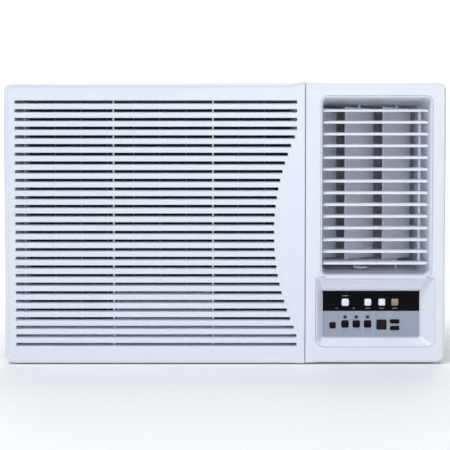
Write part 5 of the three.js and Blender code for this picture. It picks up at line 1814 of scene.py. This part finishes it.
@dataclass
class Refrigerant:
    """The compressor, its accumulator, the pipes and the run capacitor."""

    shell: float = 68.0
    bottle: float = 22.0
    pipe: float = 4.0
    bend: float = 14.0
    riser_in: float = 45.0

    def compressor(self) -> Skin:
        """Return the compressor's shell: foot ring, two drawn halves with a weld seam, and a top boss."""
        low, high = box_mm("compressor")
        x, y = (low[0] + high[0]) / 2, (low[1] + high[1]) / 2
        top = high[2] - low[2]
        shell = self.shell
        seam = top - 62.0
        dome = [(shell * math.cos(a), top - 42.0 + 38.0 * math.sin(a)) for a in np.linspace(0.0, 1.36, 9)]
        profile = np.array([
            (0.0, 0.0), (shell + 6.0, 0.0), (shell + 7.0, 1.0), (shell + 7.0, 3.0), (shell + 6.0, 4.0),
            (shell + 1.0, 6.0), (shell - 1.5, 10.0), (shell - 1.5, seam), (shell - 0.2, seam + 1.0),
            (shell, seam + 2.5), (shell - 0.2, seam + 4.0), (shell - 0.6, seam + 5.0), *dome,
            (12.0, top - 4.0), (11.0, top - 3.0), (8.0, top - 0.6), (7.0, top), (0.0, top)])
        return lathe(profile, (x, y, low[2]), 2, 56)

    def terminal_cover(self) -> Skin:
        """Return the moulded cover over the compressor's terminals."""
        low, high = box_mm("compressor")
        x, y = (low[0] + high[0]) / 2, (low[1] + high[1]) / 2
        return cushion_cap(round_rect(x - 19.0, x + 19.0, high[2] - 128.0, high[2] - 82.0, 7.0, 6),
                           y - self.shell - 9.0, y - self.shell + 6.0, 2.4, 1.2)

    def accumulator(self) -> Skin:
        """Return the accumulator: a bottle with round ends, a strap round it and its outlet pipe."""
        low, high = box_mm("accumulator")
        x = low[0] + self.bottle
        y = (low[1] + high[1]) / 2
        base = high[2] - 160.0
        radius = self.bottle - 0.4
        foot = [(radius * math.sin(a), 16.0 - 16.0 * math.cos(a)) for a in np.linspace(0.35, math.pi / 2, 7)]
        head = [(radius * math.cos(a), 144.0 + 16.0 * math.sin(a)) for a in np.linspace(0.0, 1.22, 7)]
        strap = [(radius, 70.0), (self.bottle, 70.4), (self.bottle, 82.0), (radius, 82.4)]
        profile = np.array([(0.0, foot[0][1]), *foot, *strap, *head, (0.0, head[-1][1])])
        body = lathe(profile, (x, y, base), 2, 40)
        outlet = low[2] + self.pipe
        corners = np.array([[x, y, base + 6.0], [x, y, outlet], [high[0], y, outlet]])
        return body + tube(smooth_path(corners, self.bend, 10), self.pipe, 16)

    def run_pipe(self, corners: Sequence[Sequence[float]]) -> Skin:
        """Return a copper pipe through corners, with a brazed sleeve at each end.

        Args:
            corners: The corners of its route.

        Returns:
            The pipe.
        """
        points = np.array(corners, dtype=float)
        parts = [tube(smooth_path(points, self.bend, 10), self.pipe, 16)]
        for end, inner in ((points[0], points[1]), (points[-1], points[-2])):
            along = (inner - end) / np.linalg.norm(inner - end)
            sleeve = np.array([end + along * d for d in (0.2, 1.0, 9.0, 11.0)])
            parts.append(tube(sleeve, self.pipe + 0.7, 16))
        return total(parts)

    def build_pipes(self) -> None:
        """Make the two pipes between the compressor and the coils."""
        _, high = box_mm("discharge_pipe")
        shell_low, shell_high = box_mm("compressor")
        coil_low, coil_high = box_mm("condenser_coil")
        x, y = (shell_low[0] + shell_high[0]) / 2, (shell_low[1] + shell_high[1]) / 2
        level, side, rear = high[2] - self.pipe, high[0] - self.pipe, (coil_low[1] + coil_high[1]) / 2
        hot = self.run_pipe([(x, y, shell_high[2] + 0.4), (x, y, level), (side, y, level),
                             (side, rear, level), (coil_high[0] + 0.3, rear, level)])
        make_piece("discharge_line", hot, COPPER, Body.ROOT, ["discharge_pipe"])
        low, high = box_mm("suction_pipe")
        bottle_low, bottle_high = box_mm("accumulator")
        start = low[0]
        level, crest = low[2] + self.pipe, high[2] - self.pipe
        middle = low[1] + self.pipe
        turn = box_mm("bulkhead")[0][1] + self.riser_in
        x, y = bottle_low[0] + self.bottle, (bottle_low[1] + bottle_high[1]) / 2
        cold = self.run_pipe([(start, middle, level), (x, middle, level), (x, turn, level), (x, turn, crest),
                              (x, y, crest), (x, y, bottle_high[2] + 0.3)])
        make_piece("suction_line", cold, COPPER, Body.ROOT, ["suction_pipe"])

    def build(self) -> None:
        """Make the refrigerant parts."""
        make_piece("compressor_shell", self.compressor() + self.terminal_cover(), BLACK_ENAMEL, Body.ROOT,
                   ["compressor"])
        make_piece("accumulator_bottle", self.accumulator(), BLACK_ENAMEL, Body.ROOT,
                   ["accumulator"])
        self.build_pipes()
        low, high = box_mm("capacitor")
        x, y = (low[0] + high[0]) / 2, (low[1] + high[1]) / 2
        radius, rise = (high[0] - low[0]) / 2, high[2] - low[2] - 7.0
        profile = np.array([
            (0.0, 0.0), (radius - 1, 0.0), (radius, 1.0), (radius, rise - 4), (radius - 0.8, rise - 3.4),
            (radius - 0.8, rise - 1), (radius - 2, rise), (radius - 5, rise - 1.2), (0.0, rise - 1.2)])
        can = lathe(profile, (x, y, low[2]), 2, 40)
        tabs = [plate(round_rect(x + step - 3.1, x + step + 3.1, high[2] - 9.5, high[2], 0.8, 3),
                      y - 0.4, y + 0.4, 0.1) for step in (-8.0, 8.0)]
        make_piece("capacitor_can", total([can, *tabs]), FIN_ALUMINIUM, Body.ROOT,
                   ["capacitor"])


# ---------------------------------------------------------------- casing and carried-over nodes

@dataclass(frozen=True)
class CarriedOver:
    """A CAD node that shows as it is: it takes a finish and a fine bevel."""

    node: str
    finish: Finish
    bevel: float = 0.5

    def dress(self) -> None:
        """Give the node its finish, soft shading and a bevel on its sharp edges."""
        obj = frame["nodes"][self.node]
        obj.data.materials.clear()
        obj.data.materials.append(self.finish.material())
        obj.data.shade_smooth()
        obj.data.set_sharp_from_angle(angle=math.radians(32.0))
        weld = obj.modifiers.new("joined corners", "WELD")
        weld.merge_threshold = 1e-6
        bevel = obj.modifiers.new("eased edges", "BEVEL")
        bevel.width = self.bevel * MM
        bevel.segments = 2
        bevel.angle_limit = math.radians(40.0)
        bevel.use_clamp_overlap = True
        normal = obj.modifiers.new("flat faces", "WEIGHTED_NORMAL")
        normal.keep_sharp = True
        LOG.info("carried over %s as %s", self.node, self.finish.name)


@dataclass
class Casing:
    """The cabinet's details, and the sheet parts and mouldings that come straight from the CAD."""

    side_slots: tuple[tuple[float, float], ...] = ((40.0, 110.0), (125.0, 195.0))
    side_margin: float = 30.0
    pitch: float = 32.0
    blank: float = 150.0
    overhang: float = 1.5
    taper: float = 6.0
    hood: tuple[tuple[float, float], ...] = (
        (-0.3, -2.6), (0.8, -2.2), (1.9, -0.8), (2.6, 1.0), (2.7, 2.6), (2.1, 2.6), (1.4, 0.9),
        (0.4, -0.4), (-0.3, -0.6))
    screw: float = 4.2

    def carried(self) -> list[CarriedOver]:
        """Return the nodes that are carried over."""
        return [CarriedOver("cabinet", CABINET_PAINT, 0.4), CarriedOver("base_pan", ZINC_SHEET, 0.5),
                CarriedOver("bulkhead", ZINC_SHEET, 0.3), CarriedOver("fan_shroud", ZINC_SHEET, 0.4),
                CarriedOver("motor_bracket", ZINC_SHEET, 0.8), CarriedOver("discharge_duct", DUCT_FOAM, 0.6),
                CarriedOver("blower_scroll", DUCT_FOAM, 0.6), CarriedOver("drain_tray", DUCT_FOAM, 0.5),
                CarriedOver("vent_door", DARK_PLASTIC, 0.3), CarriedOver("control_board", CIRCUIT, 0.1),
                CarriedOver("cord_grommet", RUBBER, 0.5)]

    def screw_head(self, facing: Facing, place: Sequence[float], depth: float, way: float) -> Skin:
        """Return a pan-head screw with a round recess, standing out along a facing's depth.

        Args:
            facing: The plane it is screwed into.
            place: Its middle in that plane.
            depth: The plane's depth.
            way: 1 or -1, the side it stands out on.

        Returns:
            The screw's head.
        """
        radius = self.screw
        heights = ((radius * 0.45, 1.9), (radius * 0.75, 1.75), (radius * 0.95, 1.1), (radius, 0.0))
        recess = [ring(circle(*place, 1.6, 24), depth + way * h, facing) for h in (0.7, 1.9)]
        head = [ring(circle(*place, r, 24), depth + way * h, facing) for r, h in heights]
        head.append(ring(circle(*place, radius, 24), depth - way * 0.4, facing))
        return skin_of(recess + head)

    def screws(self) -> Skin:
        """Return the screws low on both sides of the cabinet."""
        low, high = box_mm("cabinet")
        parts = []
        for side, way in ((low[0], -1.0), (high[0], 1.0)):
            parts += [self.screw_head(Facing.SIDE, (y, low[2] + 12.0), side, way)
                      for y in np.linspace(low[1] + 30.0, high[1] - 40.0, 5)]
        return total(parts)

    def louvre(self, start: float, end: float, face: float, way: float, top: float) -> Skin:
        """Return one pressed hood over a slot, which shrinks to nothing at both ends.

        Near an end the section's scale is the sine of the share of the taper's quarter turn.

        Args:
            start: Where it starts along its slot.
            end: Where it ends.
            face: The side sheet's outer face.
            way: 1 or -1, the side it stands out on.
            top: Height of the slot's upper edge.

        Returns:
            The hood.
        """
        section = np.array([(face + way * out, top - down) for out, down in self.hood])
        if polygon_area(section) < 0:
            section = section[::-1]
        root = np.array((face - way * 0.3, top + 1.2))
        steps = np.linspace(0.0, 1.0, 5)
        shares = np.maximum(np.sin(steps * math.pi / 2), 0.12)
        places = np.concatenate([start + self.taper * steps, end - self.taper * steps[::-1]])
        return skin_of([ring(root + (section - root) * scale, place)
                        for place, scale in zip(places, [*shares, *shares[::-1]])])

    def louvres(self) -> Skin:
        """Return the hoods over the side slots."""
        low, high = box_mm("cabinet")
        rows = int((high[2] - self.blank) // self.pitch)
        tops = [high[2] - self.side_margin - row * self.pitch for row in range(rows)]
        return total([self.louvre(start - self.overhang, end + self.overhang, face, way, top)
                      for top in tops for start, end in self.side_slots
                      for face, way in ((low[0], -1.0), (high[0], 1.0))])

    def build(self) -> None:
        """Dress the carried-over nodes and make the screws."""
        for part in self.carried():
            part.dress()
        make_piece("cabinet_screws", self.screws(), MOTOR_STEEL, Body.ROOT)
        make_piece("side_louvres", self.louvres(), CABINET_PAINT, Body.ROOT)


# ---------------------------------------------------------------- studio and build

@dataclass
class Studio:
    """A pale floor that curves up behind, a soft white room, two large lamps and the camera."""

    distance: float = 1.75
    elevation: float = 2.5
    lens: float = 93.75
    floor_tone: tuple[float, float, float] = (0.90, 0.91, 0.92)
    floor_half: float = 9.0
    floor_back: float = 4.0
    floor_bend: float = 1.6
    floor_drop: float = 0.0005
    wall_height: float = 7.0

    def floor(self) -> None:
        """Make the floor: one sheet that bends up far behind."""
        turn = np.linspace(0.0, math.pi / 2, 24)
        bend, back = self.floor_bend, self.floor_back
        sweep = np.stack([back + bend * np.sin(turn), bend * (1 - np.cos(turn))], 1)
        profile = np.vstack([[[-self.floor_half, 0.0]], sweep, [[back + bend, self.wall_height]]])
        xs = np.array([-self.floor_half, self.floor_half])
        points = np.array([[x, y, z - self.floor_drop] for y, z in profile for x in xs])
        faces = [(2 * i, 2 * i + 1, 2 * i + 3, 2 * i + 2) for i in range(len(profile) - 1)]
        mesh = bpy.data.meshes.new("studio_floor")
        mesh.from_pydata(points.tolist(), [], faces)
        mesh.shade_smooth()
        mesh.materials.append(Finish("studio_floor", self.floor_tone, 0.6, mottle=0.008, mottle_scale=3.0,
                                     grain_depth=0.0).material())
        obj = bpy.data.objects.new("studio_floor", mesh)
        bpy.context.scene.collection.objects.link(obj)

    def lamp(self, name: str, place: Sequence[float], size: float, power: float,
             target: Sequence[float] = (0.0, 0.0, 0.2)) -> None:
        """Add a square area lamp.

        Args:
            name: The lamp's name.
            place: Where it stands, in metres.
            size: Length of its side.
            power: Its power in watts.
            target: The point it looks at, which is on the object if none is given.
        """
        light = bpy.data.lights.new(name, "AREA")
        light.shape = "SQUARE"
        light.size = size
        light.energy = power
        obj = bpy.data.objects.new(name, light)
        obj.location = place
        obj.rotation_euler = (Vector(target) - Vector(place)).to_track_quat("-Z", "Y").to_euler()
        bpy.context.scene.collection.objects.link(obj)

    def room(self) -> None:
        """Light the room evenly in soft white, shown with plain display colours."""
        world = bpy.data.worlds.new("studio_room")
        bpy.context.scene.world = world
        world.use_nodes = True
        back = world.node_tree.nodes["Background"]
        back.inputs["Color"].default_value = (0.93, 0.96, 1.0, 1.0)
        back.inputs["Strength"].default_value = 0.36
        bpy.context.scene.view_settings.view_transform = "Standard"

    def camera(self) -> None:
        """Stand the camera in front, looking a little down at the middle of the face."""
        low, high = CAD_BOX
        target = Vector((0.0, low[1], (low[2] + high[2]) / 2 - 0.002))
        angle = math.radians(self.elevation)
        data = bpy.data.cameras.new("camera")
        data.lens = self.lens
        data.sensor_width = 36.0
        data.clip_end = 60.0
        obj = bpy.data.objects.new("camera", data)
        obj.location = target + Vector((0.0, -math.cos(angle), math.sin(angle))) * self.distance
        obj.rotation_euler = (target - obj.location).to_track_quat("-Z", "Y").to_euler()
        bpy.context.scene.collection.objects.link(obj)
        bpy.context.scene.camera = obj

    def build(self) -> None:
        """Set the whole studio."""
        self.floor()
        self.room()
        self.lamp("key_lamp", (-0.7, -1.5, 2.9), 1.0, 48.0)
        self.lamp("fill_lamp", (0.5, -3.2, 0.75), 1.2, 20.0)
        self.lamp("back_lamp", (0.4, 1.6, 3.2), 2.2, 34.0)
        self.lamp("backdrop_lamp", (0.0, 1.5, 3.0), 2.5, 230.0, (0.0, 5.0, 0.9))
        self.camera()


def main() -> None:
    """Build the visual model, front to back, and log each piece."""
    logging.basicConfig(level=logging.INFO, format="%(name)s %(message)s")
    coils = [Coil("evaporator_coil", 1.0, 110.0, 5), Coil("condenser_coil", -1.0, 40.0, 6)]
    for part in (IntakeGrille(), FrontFrame(), AirFilter(), Blades(), Vanes(), ControlPanel(), *coils,
                 AirMover(), Refrigerant(), Casing(), Studio()):
        LOG.info("building %s", type(part).__name__)
        part.build()


if __name__ == "__main__":
    main()
